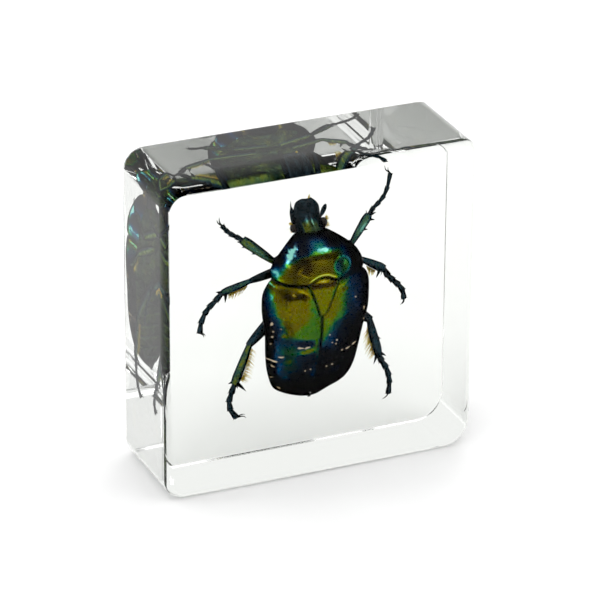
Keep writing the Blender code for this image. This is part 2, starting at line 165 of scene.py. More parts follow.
# ---------------------------------------------------------------- meshes
@dataclass
class Shape:
    """A mesh being made.

    Attributes:
        points: corners in mm, (n, 3).
        faces: corner numbers of quads, (m, 4); a triangle repeats its last corner.
        tone: one number a corner, which the finish reads as its place on the colour scale.
        shade: one number a corner, by which the finish multiplies the colour; below 1 it is painted shade,
        above 1 painted light; none means 1 everywhere.
    """

    points: Array
    faces: Array
    tone: Array
    shade: Array | None = None

    def shades(self) -> Array:
        """The shade of every corner."""
        return np.ones(len(self.points)) if self.shade is None else self.shade

    @staticmethod
    def joined(shapes: list["Shape"]) -> "Shape":
        """All the shapes as one.

        Args:
            shapes: what to join.

        Returns:
            One shape.
        """
        starts = np.cumsum([0] + [len(s.points) for s in shapes[:-1]])
        return Shape(np.concatenate([s.points for s in shapes]),
                     np.concatenate([s.faces + start for s, start in zip(shapes, starts)]),
                     np.concatenate([s.tone for s in shapes]), np.concatenate([s.shades() for s in shapes]))

    @staticmethod
    def tube(rings: Array, tone: Array | float = 0.0, shade: Array | float = 1.0) -> "Shape":
        """A closed solid round a path: each ring is joined to the next, and each end runs into one point.

        Args:
            rings: points, (rings, sides, 3).
            tone, shade: one number, or one a point, (rings, sides).

        Returns:
            The closed shape.
        """
        count, sides = rings.shape[:2]
        number = np.arange(count * sides).reshape(count, sides)
        after = np.roll(number, -1, axis=1)
        walls = np.stack([number[:-1], after[:-1], after[1:], number[1:]], -1).reshape(-1, 4)
        low, high = count * sides, count * sides + 1
        start = np.stack([np.full(sides, low), after[0], number[0], number[0]], -1)
        end = np.stack([np.full(sides, high), number[-1], after[-1], after[-1]], -1)
        tones, shades = (np.broadcast_to(np.asarray(v, float), (count, sides)) for v in (tone, shade))
        return Shape(np.concatenate([rings.reshape(-1, 3), [rings[0].mean(0)], [rings[-1].mean(0)]]),
                     np.concatenate([walls, start, end]),
                     np.concatenate([tones.ravel(), [tones[0].mean(), tones[-1].mean()]]),
                     np.concatenate([shades.ravel(), [shades[0].mean(), shades[-1].mean()]]))

    @staticmethod
    def plate(grid: Array, thickness: float, tone: Array, shade: Array) -> "Shape":
        """A closed plate under a grid: the same grid again, moved in along the normals, and a rim between.

        Args:
            grid: the outer surface, (rows, columns, 3), whose normals point out.
            thickness: how far the inner surface lies in, in mm.
            tone, shade: one number a point, (rows, columns).

        Returns:
            The closed shape.
        """
        rows, columns = grid.shape[:2]
        number = np.arange(rows * columns).reshape(rows, columns)
        cells = cells_of(number)
        inner = cells[:, ::-1] + rows * columns
        loop = np.concatenate([number[0, :-1], number[:-1, -1], number[-1, :0:-1], number[:0:-1, 0]])
        after = np.roll(loop, -1)
        rim = np.stack([loop, after, after + rows * columns, loop + rows * columns], -1)
        under = grid - thickness * normals_of(grid)
        points = np.concatenate([grid.reshape(-1, 3), under.reshape(-1, 3)])
        faces = np.concatenate([cells, inner, rim])
        return Shape(points, faces, np.tile(tone.ravel(), 2), np.tile(shade.ravel(), 2))


def make_piece(name: str, shape: Shape, finish: Material,
               node: str = "beetle") -> bpy.types.Object:
    """Puts a shape into the scene as a smooth piece that stands for a node.

    Args:
        name: the piece's name.
        shape: its mesh in mm.
        finish: its material.
        node: the CAD node that it replaces.

    Returns:
        The new object, at the origin.
    """
    mesh = bpy.data.meshes.new(name)
    quads = shape.faces[shape.faces[:, 2] != shape.faces[:, 3]]
    thirds = shape.faces[shape.faces[:, 2] == shape.faces[:, 3]][:, :3]
    mesh.from_pydata((shape.points * MM).tolist(), [], quads.tolist() + thirds.tolist())
    for name_of, values in (("tone", shape.tone), ("shade", shape.shades())):
        mesh.attributes.new(name_of, "FLOAT", "POINT").data.foreach_set("value", values.astype(np.float32))
    work = bmesh.new()
    work.from_mesh(mesh)
    bmesh.ops.recalc_face_normals(work, faces=work.faces)
    work.to_mesh(mesh)
    work.free()
    mesh.polygons.foreach_set("use_smooth", np.ones(len(mesh.polygons), bool))
    mesh.materials.append(finish)
    piece = bpy.data.objects.new(name, mesh)
    bpy.context.scene.collection.objects.link(piece)
    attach(piece, "root")
    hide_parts(node)
    LOG.info("%s: %d faces", name, len(mesh.polygons))
    return piece


# ---------------------------------------------------------------- materials
def linear(colour: str) -> tuple[float, float, float, float]:
    """An sRGB hex colour turned to linear light.

    Args:
        colour: the hex, such as 6a6400.

    Returns:
        Red, green, blue, and alpha one.
    """
    parts = np.array([int(colour[i:i + 2], 16) for i in (0, 2, 4)]) / 255
    parts = np.where(parts <= 0.04045, parts / 12.92, ((parts + 0.055) / 1.055) ** 2.4)
    return (*parts.tolist(), 1.0)


def set_stops(ramp: bpy.types.ColorRamp, stops: tuple[tuple[float, str | float], ...]) -> None:
    """Gives a colour ramp its stops.

    Args:
        ramp: the ramp.
        stops: each stop's place, and its colour as an sRGB hex or a linear grey.
    """
    while len(ramp.elements) < len(stops):
        ramp.elements.new(0.5)
    for element, (place, colour) in zip(ramp.elements, stops):
        element.position = place
        element.color = linear(colour) if isinstance(colour, str) else (colour, colour, colour, 1.0)


def add_node(tree: Tree, kind: str, settings: dict = {}, links: dict = {}) -> bpy.types.Node:
    """Adds a node to a tree.

    Args:
        tree: the node tree.
        kind: the node's type name after its first word, ShaderNode.
        settings: attributes of the node by name, values of its input sockets by name or number, or a
            colour ramp's stops.
        links: output sockets that go into its input sockets, by name or number.

    Returns:
        The node.
    """
    made = tree.nodes.new("ShaderNode" + kind)
    for name, value in settings.items():
        if name == "stops":
            set_stops(made.color_ramp, value)
        elif isinstance(name, str) and hasattr(made, name):
            setattr(made, name, value)
        else:
            made.inputs[name].default_value = value
    for name, source in links.items():
        tree.links.new(source, made.inputs[name])
    return made


def new_material(name: str) -> tuple[Material, Tree]:
    """A material with an empty node tree.

    Args:
        name: its name.

    Returns:
        The material and its tree.
    """
    made = bpy.data.materials.new(name)
    made.use_nodes = True
    made.node_tree.nodes.clear()
    return made, made.node_tree


@dataclass(frozen=True)
class CuticleFinish:
    """Chitin with layers as thin as light waves: a mirror like metal, whose colour runs from gold to blue.

    The tone that each corner carries gives the place on the colour scale, and noise makes its borders
    irregular. The shade scales the colour's strength: below 1 it is painted shade, above 1 painted light.
    From lit_from to lit_full it also turns the colour a pale mint and makes it less metallic: a painted
    highlight, where the real back mirrors a lamp. Fine punctures and a slow waviness come from bump.
    """

    name: str
    stops: tuple[tuple[float, str], ...]
    roughness: float = 0.12
    rough_spread: float = 0.10
    gloss_per_mm: float = 2.3
    tone_spread: float = 0.06
    mottle_per_mm: float = 1.1
    puncture_per_mm: float = 4.5
    puncture_size: float = 0.22    # of the distance between two punctures
    puncture_depth_mm: float = 0.008
    wave_per_mm: float = 0.8
    wave_depth_mm: float = 0.02
    # Shade from lit_from to lit_full is a painted highlight: its metal share and its pale colour.
    lit_from: float = 2.5
    lit_full: float = 7.0
    lit_metal: float = 0.25
    painted_highlight_tint: tuple[float, float, float] = (0.40, 1.0, 0.88)
    reflection: str = "30343a"

    def build(self) -> Material:
        """Makes the material.

        Returns:
            The material.
        """
        made, tree = new_material(self.name)
        place = add_node(tree, "TexCoord").outputs["Object"]
        tone = add_node(tree, "Attribute", {"attribute_name": "tone"}).outputs["Fac"]
        shade = add_node(tree, "Attribute", {"attribute_name": "shade"}).outputs["Fac"]
        mottle = add_node(tree, "TexNoise", {"Scale": self.mottle_per_mm / MM, "Detail": 5.0,
                                             "Roughness": 0.6}, {"Vector": place}).outputs["Fac"]
        spread = add_node(tree, "MapRange", {"From Min": 0.25, "From Max": 0.75, "To Min": -self.tone_spread,
                                             "To Max": self.tone_spread}, {"Value": mottle})
        moved = add_node(tree, "Math", {"operation": "ADD", "use_clamp": True},
                         {0: tone, 1: spread.outputs["Result"]})
        scale = add_node(tree, "ValToRGB", {"stops": self.stops}, {"Fac": moved.outputs["Value"]})
        scaled = add_node(tree, "VectorMath", {"operation": "SCALE"},
                          {0: scale.outputs["Color"], "Scale": shade}).outputs["Vector"]
        # Painted highlight: with shade from lit_from to lit_full the colour turns pale mint, less metallic.
        reach = {"From Min": self.lit_from, "From Max": self.lit_full}
        lit, unlit, metal = (
            add_node(tree, "MapRange", reach | {"To Min": start, "To Max": end},
                     {"Value": shade}).outputs["Result"]
            for start, end in ((0.0, 1.0), (1.0, 0.0), (1.0, self.lit_metal)))
        kept = add_node(tree, "VectorMath", {"operation": "SCALE"}, {0: scaled, "Scale": unlit})
        with_painted_highlight = add_node(tree, "VectorMath", {"operation": "MULTIPLY_ADD", 1: self.painted_highlight_tint},
                            {0: lit, 2: kept.outputs["Vector"]}).outputs["Vector"]
        colour = add_node(tree, "VectorMath", {"operation": "MINIMUM", 1: (1.0, 1.0, 1.0)},
                          {0: with_painted_highlight}).outputs["Vector"]
        gloss = add_node(tree, "TexNoise", {"Scale": self.gloss_per_mm / MM, "Detail": 3.0},
                         {"Vector": place})
        rough = add_node(tree, "MapRange", {"From Min": 0.3, "From Max": 0.7, "To Min": self.roughness,
                                            "To Max": self.roughness + self.rough_spread},
                         {"Value": gloss.outputs["Fac"]}).outputs["Result"]
        cells = add_node(tree, "TexVoronoi", {"feature": "F1", "Scale": self.puncture_per_mm / MM},
                         {"Vector": place}).outputs["Distance"]
        pits = add_node(tree, "MapRange", {"From Min": 0.0, "From Max": self.puncture_size, "To Min": -1.0,
                                           "To Max": 0.0}, {"Value": cells}).outputs["Result"]
        pitted = add_node(tree, "Bump", {"Strength": 1.0, "Distance": self.puncture_depth_mm * MM},
                          {"Height": pits}).outputs["Normal"]
        waves = add_node(tree, "TexNoise", {"Scale": self.wave_per_mm / MM, "Detail": 2.0}, {"Vector": place})
        surface = add_node(tree, "Bump", {"Strength": 1.0, "Distance": self.wave_depth_mm * MM},
                           {"Height": waves.outputs["Fac"], "Normal": pitted}).outputs["Normal"]
        shader = add_node(tree, "BsdfPrincipled", {"Specular Tint": linear(self.reflection)},
                          {"Base Color": colour, "Metallic": metal, "Roughness": rough, "Normal": surface})
        add_node(tree, "OutputMaterial", links={"Surface": shader.outputs["BSDF"]})
        return made


@dataclass(frozen=True)
class HairFinish:
    """Dry insect hair: golden bristles that glow where light passes through, pale at tone 0, deep at 1."""

    name: str = "bristle_golden_hair"
    stops: tuple[tuple[float, str], ...] = ((0.0, "ffcb4a"), (0.5, "f6ae18"), (1.0, "c8860a"))
    glow_mm: tuple[float, float, float] = (1.0, 0.8, 0.5)
    grain_per_mm: float = 3.0

    def build(self) -> Material:
        """Makes the material.

        Returns:
            The material.
        """
        made, tree = new_material(self.name)
        place = add_node(tree, "TexCoord").outputs["Object"]
        tone = add_node(tree, "Attribute", {"attribute_name": "tone"}).outputs["Fac"]
        grain = add_node(tree, "TexNoise", {"Scale": self.grain_per_mm / MM}, {"Vector": place})
        mixed = add_node(tree, "Math", {"operation": "MULTIPLY_ADD", 1: 0.35},
                         {0: grain.outputs["Fac"], 2: tone})
        shifted = add_node(tree, "Math", {"operation": "SUBTRACT", 1: 0.17}, {0: mixed.outputs["Value"]})
        colour = add_node(tree, "ValToRGB", {"stops": self.stops}, {"Fac": shifted.outputs["Value"]})
        shader = add_node(tree, "BsdfPrincipled", {
            "Roughness": 0.6, "Specular IOR Level": 0.2, "Subsurface Weight": 1.0,
            "Subsurface Radius": self.glow_mm, "Subsurface Scale": 1.0 * MM},
            {"Base Color": colour.outputs["Color"]})
        add_node(tree, "OutputMaterial", links={"Surface": shader.outputs["BSDF"]})
        return made


@dataclass(frozen=True)
class ScaleFinish:
    """The chafer's cream marks: a crust of tiny pale scales, matt, with brownish gaps."""

    name: str = "chafer_cream_scales"
    stops: tuple[tuple[float, str], ...] = (
        (0.0, "efdcbc"), (0.35, "d4bc96"), (0.7, "8c7a5a"), (1.0, "4d4a30"))
    crust_per_mm: float = 5.0
    crust_depth_mm: float = 0.02

    def build(self) -> Material:
        """Makes the material.

        Returns:
            The material.
        """
        made, tree = new_material(self.name)
        place = add_node(tree, "TexCoord").outputs["Object"]
        tone = add_node(tree, "Attribute", {"attribute_name": "tone"}).outputs["Fac"]
        crust = add_node(tree, "TexNoise", {"Scale": self.crust_per_mm / MM, "Detail": 4.0},
                         {"Vector": place}).outputs["Fac"]
        mixed = add_node(tree, "Math", {"operation": "MULTIPLY_ADD", 1: 0.5}, {0: crust, 2: tone})
        shifted = add_node(tree, "Math", {"operation": "SUBTRACT", 1: 0.25}, {0: mixed.outputs["Value"]})
        colour = add_node(tree, "ValToRGB", {"stops": self.stops}, {"Fac": shifted.outputs["Value"]})
        bumpy = add_node(tree, "Bump", {"Strength": 0.6, "Distance": self.crust_depth_mm * MM},
                         {"Height": crust})
        shader = add_node(tree, "BsdfPrincipled", {"Roughness": 0.75, "Specular IOR Level": 0.1},
                          {"Base Color": colour.outputs["Color"], "Normal": bumpy.outputs["Normal"]})
        add_node(tree, "OutputMaterial", links={"Surface": shader.outputs["BSDF"]})
        return made


@dataclass(frozen=True)
class EyeFinish:
    """A compound eye: dark brown cuticle set with lenses, which make it glitter finely."""

    name: str = "compound_eye_lenses"
    stops: tuple[tuple[float, str], ...] = ((0.0, "3a2410"), (0.6, "140c08"), (1.0, "070505"))
    lenses_per_mm: float = 14.0    # coarser than real lenses, which are too fine for the picture
    lens_height_mm: float = 0.01

    def build(self) -> Material:
        """Makes the material.

        Returns:
            The material.
        """
        made, tree = new_material(self.name)
        place = add_node(tree, "TexCoord").outputs["Object"]
        lens = add_node(tree, "TexVoronoi", {"Scale": self.lenses_per_mm / MM}, {"Vector": place})
        colour = add_node(tree, "ValToRGB", {"stops": self.stops}, {"Fac": lens.outputs["Distance"]})
        bumpy = add_node(tree, "Bump", {"Strength": 0.5, "Distance": self.lens_height_mm * MM,
                                        "invert": True}, {"Height": lens.outputs["Distance"]})
        shader = add_node(tree, "BsdfPrincipled", {"Roughness": 0.22, "Metallic": 0.4},
                          {"Base Color": colour.outputs["Color"], "Normal": bumpy.outputs["Normal"]})
        add_node(tree, "OutputMaterial", links={"Surface": shader.outputs["BSDF"]})
        return made


@dataclass(frozen=True)
class ResinFinish:
    """Clear casting resin, poured and polished: see-through, with a very faint waviness in its gloss."""

    name: str = "cast_clear_resin"
    ior: float = 1.5
    face_gloss: str = "808080"     # holds the straight-on reflection down, as a polarising filter does
    tint: str = "eceeeb"           # a trace of grey in each face, as cast resin has
    wave_per_mm: float = 0.09
    wave_depth_mm: float = 0.012

    def build(self) -> Material:
        """Makes the material.

        Returns:
            The material.
        """
        made, tree = new_material(self.name)
        place = add_node(tree, "TexCoord").outputs["Object"]
        polish = add_node(tree, "TexNoise", {"Scale": self.wave_per_mm / MM, "Detail": 1.0},
                          {"Vector": place})
        wavy = add_node(tree, "Bump", {"Strength": 1.0, "Distance": self.wave_depth_mm * MM},
                        {"Height": polish.outputs["Fac"]})
        shader = add_node(tree, "BsdfPrincipled", {
            "Base Color": linear(self.tint), "Roughness": 0.0, "IOR": self.ior,
            "Specular Tint": linear(self.face_gloss), "Transmission Weight": 1.0},
            {"Normal": wavy.outputs["Normal"]})
        add_node(tree, "OutputMaterial", links={"Surface": shader.outputs["BSDF"]})
        return made


# ---------------------------------------------------------------- resin block
@dataclass
class ResinBlock:
    """The clear cast block, one solid round the beetle.

    Attributes:
        width, height, depth: its sizes in mm.
        corner_radii: of the top right, top left, bottom left and bottom right corner.
        back_edge: the rear edge's rounding, as (way round the outline, radius) in mm.
        front_edge: the front edge's, as (way round the outline, inset in mm, starting angle in degrees).
        corner_steps, side_steps, round_steps: steps round a corner, along a side and over an edge.
    """

    width: float = 40.0
    height: float = 40.4
    depth: float = 14.4
    corner_radii: tuple[float, ...] = (1.8, 2.8, 2.4, 3.5)
    back_edge: tuple[tuple[float, float], ...] = (
        (0.0, 0.12), (2.5, 1.4), (78.0, 1.4), (84.0, 0.4), (116.0, 0.3), (121.0, 0.12), (157.0, 0.12))
    corner_steps: int = 16
    side_steps: int = 60
    round_steps: int = 14
    front_edge: tuple[tuple[float, float, float], ...] = (
        (0.0, 1.05, 0.0), (4.0, 0.90, 10.0), (14.0, 0.95, 35.0), (17.0, 1.00, 62.0), (38.0, 1.00, 62.0),
        (43.0, 0.50, 62.0), (64.0, 0.50, 62.0), (68.0, 0.60, 30.0), (82.0, 0.80, 15.0), (90.0, 0.80, 0.0),
        (116.0, 0.80, 0.0), (121.0, 1.05, 0.0), (157.0, 1.05, 0.0))

    def outline(self) -> tuple[Array, Array]:
        """Points of the rounded outline in the block's middle plane, and the outward direction at each.

        Formula: for each corner, the corner's centre plus the radius times (cos, sin) of an angle that
        runs a quarter turn; the sides between them are straight, in even steps.

        Returns:
            Points and directions, both (points, 3), anticlockwise from the right side's upper end.
        """
        turn = np.linspace(0.0, math.pi / 2, self.corner_steps + 1)
        points, ways = [], []
        for quarter, (radius, side, up) in enumerate(zip(self.corner_radii, (1, -1, -1, 1), (1, 1, -1, -1))):
            angle = turn + quarter * math.pi / 2
            way = np.stack([np.cos(angle), np.zeros_like(angle), np.sin(angle)], -1)
            middle = self.height / 2
            centre = np.array([side * (self.width / 2 - radius), 0.0, middle + up * (middle - radius)])
            points.append(centre + radius * way)
            ways.append(way)
        share = np.linspace(0.0, 1.0, self.side_steps + 1)[1:-1, None]
        sides = [a[-1] + (b[0] - a[-1]) * share for a, b in zip(points, points[1:] + points[:1])]
        spread = [np.repeat(way[-1:], len(share), 0) for way in ways]
        return (np.concatenate([part for pair in zip(points, sides) for part in pair]),
                np.concatenate([part for pair in zip(ways, spread) for part in pair]))

    def edge_rings(self, face: float, inset: Array, start: Array) -> tuple[Array, Array]:
        """Rings over one edge, from the face to the side, and their normals.

        Formula: an arc whose normal turns from a starting angle to 90 degrees, so that a face that was ground
        flat across a wide round meets it in a sharp edge. Its radius is inset / (1 - sin of that angle).

        Args:
            face: the face's place along Y in mm.
            inset: how far inside the outline the face ends, in mm, at each point of the outline.
            start: the starting angle in radians at each point; 0 gives a plain quarter round.

        Returns:
            Points and normals, both (rings, points, 3).
        """
        points, ways = self.outline()
        inward = -math.copysign(1.0, face)
        radius = inset / (1 - np.sin(start))
        angle = start + (math.pi / 2 - start) * np.linspace(0.0, 1.0, self.round_steps)[:, None]
        rings = points - (radius * (1 - np.sin(angle)))[..., None] * ways
        rings[..., 1] = face + inward * radius * (np.cos(start) - np.cos(angle))
        normals = ways * np.sin(angle)[..., None]
        normals[..., 1] = -inward * np.cos(angle)
        return rings, normals

    def build(self) -> bpy.types.Object:
        """Builds the block: the outline carried over the front edge's profile and back over the rear edge's.

        Returns:
            The block's object, with the exact normals of its flats and rounds.
        """
        points, _ = self.outline()
        run = np.concatenate([[0.0], np.cumsum(np.linalg.norm(np.diff(points, axis=0), axis=1))])
        knots, insets, angles = np.array(self.front_edge).T
        front, front_normals = self.edge_rings(-self.depth / 2, np.interp(run, knots, insets),
                                               np.radians(np.interp(run, knots, angles)))
        back, back_normals = self.edge_rings(self.depth / 2, np.interp(run, *np.array(self.back_edge).T),
                                             np.zeros_like(run))
        rings = np.concatenate([front, back[::-1]])
        piece = make_piece("resin_block", Shape.tube(rings), ResinFinish().build(), "resin_front")
        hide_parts("resin_back")
        mesh = piece.data
        corners, counts = np.empty(len(mesh.loops), int), np.empty(len(mesh.polygons), int)
        mesh.loops.foreach_get("vertex_index", corners)
        mesh.polygons.foreach_get("loop_total", counts)
        normals = np.concatenate([front_normals.reshape(-1, 3), back_normals[::-1].reshape(-1, 3),
                                  [[0.0, -1.0, 0.0], [0.0, 1.0, 0.0]]])[corners]
        centre = rings.shape[0] * rings.shape[1]
        in_end = np.repeat(np.maximum.reduceat(corners, np.cumsum(counts) - counts) >= centre, counts)
        in_front = (corners < len(run)) | (corners == centre)
        normals[in_end] = np.where(in_front[in_end, None], [0.0, -1.0, 0.0], [0.0, 1.0, 0.0])
        mesh.normals_split_custom_set(normals.tolist())
        return piece


# ---------------------------------------------------------------- the beetle's back
BACK_STOPS = ((0.00, "2a1e04"), (0.07, "4e3e08"), (0.14, "6e6200"), (0.22, "646c02"), (0.30, "457412"),
              (0.38, "1e6a36"), (0.46, "0e5650"), (0.54, "0e465a"), (0.63, "0e3050"), (0.73, "0d1e34"),
              (0.85, "080c16"), (1.00, "050608"))

LIMB_STOPS = ((0.00, "8a8408"), (0.12, "6c6c0c"), (0.24, "54642e"), (0.35, "3a523a"), (0.46, "28483e"),
              (0.58, "1c3844"), (0.72, "22323a"), (0.86, "161e22"), (1.00, "0a0d0e"))


@dataclass(frozen=True)
class Spot:
    """A place on the back: centre and half sizes in mm, which a slant in degrees turns."""

    x: float
    z: float
    half_x: float
    half_z: float

    def own_axes(self, slant: float, x: Array, z: Array) -> tuple[Array, Array]:
        """Places in the spot's own turned axes.

        Args:
            slant: its slant in degrees.
            x, z: places in mm.

        Returns:
            The places along its two axes, in its half sizes.
        """
        cos, sin = math.cos(math.radians(slant)), math.sin(math.radians(slant))
        u = ((x - self.x) * cos + (z - self.z) * sin) / self.half_x
        v = ((z - self.z) * cos - (x - self.x) * sin) / self.half_z
        return u, v


@dataclass(frozen=True)
class Patch(Spot):
    """A patch of colour on the back; a crispness of 2 fades softly, 4 has a clearer border."""

    # Many patches are painted reflections: a shade above 1 makes a painted highlight, a low one a painted
    # dark reflection.
    tone: float
    shade: float = 1.0
    slant: float = 0.0
    strength: float = 1.0
    crispness: int = 4

    def onto(self, tone: Array, shade: Array, x: Array, z: Array) -> tuple[Array, Array]:
        """Lays this patch over a colour.

        Formula: weight = strength * exp(-(|u|^n + |v|^n)), n the crispness.

        Args:
            tone, shade: what it goes over.
            x, z: places in mm.

        Returns:
            Tone and shade.
        """
        u, v = self.own_axes(self.slant, x, z)
        weight = self.strength * np.exp(-(np.abs(u) ** self.crispness + np.abs(v) ** self.crispness))
        return tone * (1 - weight) + self.tone * weight, shade * (1 - weight) + self.shade * weight


@dataclass(frozen=True)
class Relief(Spot):
    """A rise or a hollow, with its height in mm."""

    height: float
    slant: float = 0.0

    def at(self, x: Array, z: Array) -> Array:
        """Its height at each place: height * exp(-(u^2 + v^2)) in the relief's own axes."""
        u, v = self.own_axes(self.slant, x, z)
        return self.height * np.exp(-(u**2 + v**2))


@dataclass
class BackForm:
    """The main curve of a part of the back, as rows of (height, left edge, right edge, back, margin) in mm.

    Attributes:
        rows: the rows from the rear to the front; edges are places along X, back and margin along Y.
        power: 2 gives an ellipse across, more is boxier.
        under: depth of the strip that turns under the side margin.
    """

    rows: tuple[tuple[float, ...], ...]
    power: float = 2.4
    under: float = 0.9

    def sizes(self, height: Array) -> tuple[Array, Array, Array, Array]:
        """The curve's sizes.

        Args:
            height: heights in mm.

        Returns:
            Middle, half width, back and margin at each height.
        """
        table = np.array(self.rows)
        left, right, back, margin = np.moveaxis(natural_spline(table[:, 0], table[:, 1:], height), -1, 0)
        return (left + right) / 2, (right - left) / 2, back, margin

    def angle_at(self, x: Array, height: Array) -> Array:
        """The angle across that meets a place: asin(share of the half width ^ (p/2)).

        Args:
            x, height: places in mm.

        Returns:
            Angles in radians, minus a quarter turn at the left margin and plus one at the right.
        """
        middle, half, _, _ = self.sizes(height)
        share = np.clip((x - middle) / half, -1.0, 1.0)
        return np.sign(share) * np.arcsin(np.abs(share) ** (self.power / 2))

    def place(self, angle: Array, height: Array) -> Array:
        """Points of the curve.

        Formula: x = middle + half width * |sin a|^(2/p), y = margin - (margin - back) * |cos a|^(2/p), each
        with its own sign. Past the margin the second uses the depth of the strip that turns under.

        Args:
            angle: angle across in radians.
            height: heights in mm, of the same shape.

        Returns:
            Points with one more axis of three.
        """
        middle, half, back, margin = self.sizes(height)
        x = middle + half * boxed(np.sin(angle), self.power)
        rise = np.where(np.cos(angle) > 0, margin - back, self.under)
        y = margin - rise * boxed(np.cos(angle), self.power)
        return np.stack([x, y, np.broadcast_to(height, x.shape)], -1)

    def lifted(self, angle: Array, height: Array, lift: Array) -> Array:
        """The curve's points moved out along its normals, which come from small steps to each side.

        Args:
            angle, height: the points' places.
            lift: how far out, in mm.

        Returns:
            Points with one more axis of three.
        """
        step = 1e-3
        across = self.place(angle + step, height) - self.place(angle - step, height)
        along = self.place(angle, height + step) - self.place(angle, height - step)
        normal = unit(np.cross(across, along))
        outward = np.where((normal[..., 1:2] * np.cos(angle)[..., None]) > 0, -1.0, 1.0)
        return self.place(angle, height) + outward * normal * lift[..., None]


WING_FORM = BackForm((
    (7.75, 0.45, 0.90, 1.60, 1.78), (8.0, -0.15, 1.45, 1.15, 1.68), (8.3, -1.00, 1.95, 0.70, 1.63),
    (8.7, -2.10, 2.60, 0.15, 1.56), (9.2, -3.14, 3.50, -0.50, 1.48), (9.8, -4.02, 4.70, -1.10, 1.38),
    (10.5, -4.48, 5.40, -1.75, 1.30), (11.2, -4.72, 5.82, -2.28, 1.25), (12.0, -4.94, 6.14, -2.72, 1.20),
    (13.0, -5.13, 6.40, -3.12, 1.16), (14.0, -5.22, 6.62, -3.38, 1.14), (15.2, -5.28, 6.87, -3.58, 1.12),
    (16.6, -5.30, 7.18, -3.73, 1.10), (17.9, -5.40, 7.54, -3.83, 1.10), (19.0, -5.56, 7.80, -3.90, 1.10),
    (20.2, -5.71, 7.92, -3.94, 1.10), (21.5, -5.74, 7.94, -3.94, 1.10), (22.7, -5.60, 7.88, -3.90, 1.10),
    (23.5, -5.24, 7.62, -3.85, 1.10),
    (24.2, -4.78, 7.20, -3.80, 1.10), (24.7, -4.45, 6.90, -3.76, 1.10), (25.4, -4.10, 6.60, -3.70, 1.10)))
PRONOTUM_FORM = BackForm((
    (23.8, -4.55, 7.15, -3.88, 1.10), (24.4, -4.55, 7.05, -3.88, 1.10), (25.0, -4.52, 6.92, -3.86, 1.10),
    (25.6, -4.44, 6.72, -3.78, 1.10), (26.2, -4.18, 6.44, -3.62, 1.10), (26.8, -3.80, 6.05, -3.38, 1.10),
    (27.4, -3.34, 5.46, -3.04, 1.12), (28.0, -2.84, 4.76, -2.62, 1.15), (28.5, -2.42, 4.10, -2.20, 1.18),
    (29.0, -1.96, 3.40, -1.70, 1.24), (29.4, -1.54, 2.78, -1.24, 1.30), (29.8, -1.02, 2.10, -0.72, 1.38),
    (30.15, -0.60, 1.45, -0.15, 1.45)))

# The pronotum's rear edge, as the seam is seen: (x, height). It arches up over the scutellum.
SEAM = np.array([(-7.0, 25.0), (-4.6, 24.75), (-3.72, 24.45), (-2.78, 24.28), (-1.87, 24.14), (-1.1, 24.14),
                 (-0.55, 24.40), (0.0, 24.72), (0.87, 24.93), (1.75, 24.83), (2.4, 24.50), (2.95, 24.36),
                 (3.83, 24.42), (4.87, 24.60), (5.89, 24.72), (6.8, 24.60), (8.0, 24.3)])
# The line where the wing cases meet: (height, x).
SUTURE = np.array([(7.7, 0.66), (8.1, 0.64), (9.0, 0.52), (9.8, 0.44), (11.0, 0.41), (12.2, 0.46),
                   (13.5, 0.57), (14.7, 0.68), (16.7, 0.82), (18.5, 0.85), (19.94, 0.83), (26.0, 0.83)])
# The scutellum's edges: (height, left x, right x).
SHIELD = np.array([(19.90, 0.80, 0.86), (19.97, 0.66, 1.02), (20.12, 0.56, 1.22), (20.4, 0.48, 1.43),
                   (20.84, 0.34, 1.65), (21.4, 0.17, 1.86), (22.0, -0.05, 2.08), (22.6, -0.25, 2.32),
                   (23.2, -0.48, 2.58), (23.8, -0.74, 2.86), (24.6, -1.05, 3.10), (25.4, -1.2, 3.2)])


def seam_height(x: Array) -> Array:
    """Height of the pronotum's rear edge at a place x."""
    return natural_spline(SEAM[:, 0], SEAM[:, 1:], x)[..., 0]


def suture_x(height: Array) -> Array:
    """Place x of the line where the wing cases meet."""
    return natural_spline(SUTURE[:, 0], SUTURE[:, 1:], height)[..., 0]


def shield_edges(height: Array) -> tuple[Array, Array]:
    """Places x of the scutellum's left and right edge at each height."""
    edges = natural_spline(SHIELD[:, 0], SHIELD[:, 1:], height)
    return edges[..., 0], edges[..., 1]


# Edges of the gold field as (height, x): on the left case, on the right case and on the pronotum's left.
# Then where the left case turns green towards the suture.
GOLD_LEFT = np.array([(8.0, -3.3), (17.77, -3.35), (18.8, -3.64), (19.6, -4.05), (20.6, -4.45), (21.6, -4.80),
                      (22.9, -4.85), (25.5, -4.7)])
GOLD_RIGHT = np.array([(8.0, 0.7), (16.4, 0.8), (17.9, 1.84), (19.03, 2.75), (20.2, 3.54), (21.4, 3.82),
                       (25.5, 3.8)])
GOLD_SHIELD = np.array([(24.2, -4.35), (24.95, -4.12), (26.2, -3.25), (26.9, -2.50), (27.6, -0.75),
                        (28.0, 0.6)])
GREEN_LEFT = np.array([(17.4, -3.4), (17.8, -3.1), (18.5, -2.3), (19.7, -1.1), (21.0, -0.95), (22.7, -1.0),
                       (24.0, -1.1)])
# Where the left case's gold ends towards the rear, as (x, height).
GOLD_REAR = np.array([(-5.5, 18.3), (-4.35, 18.1), (-3.26, 17.55), (-2.42, 17.42), (-1.3, 17.15),
                      (0.9, 16.9)])
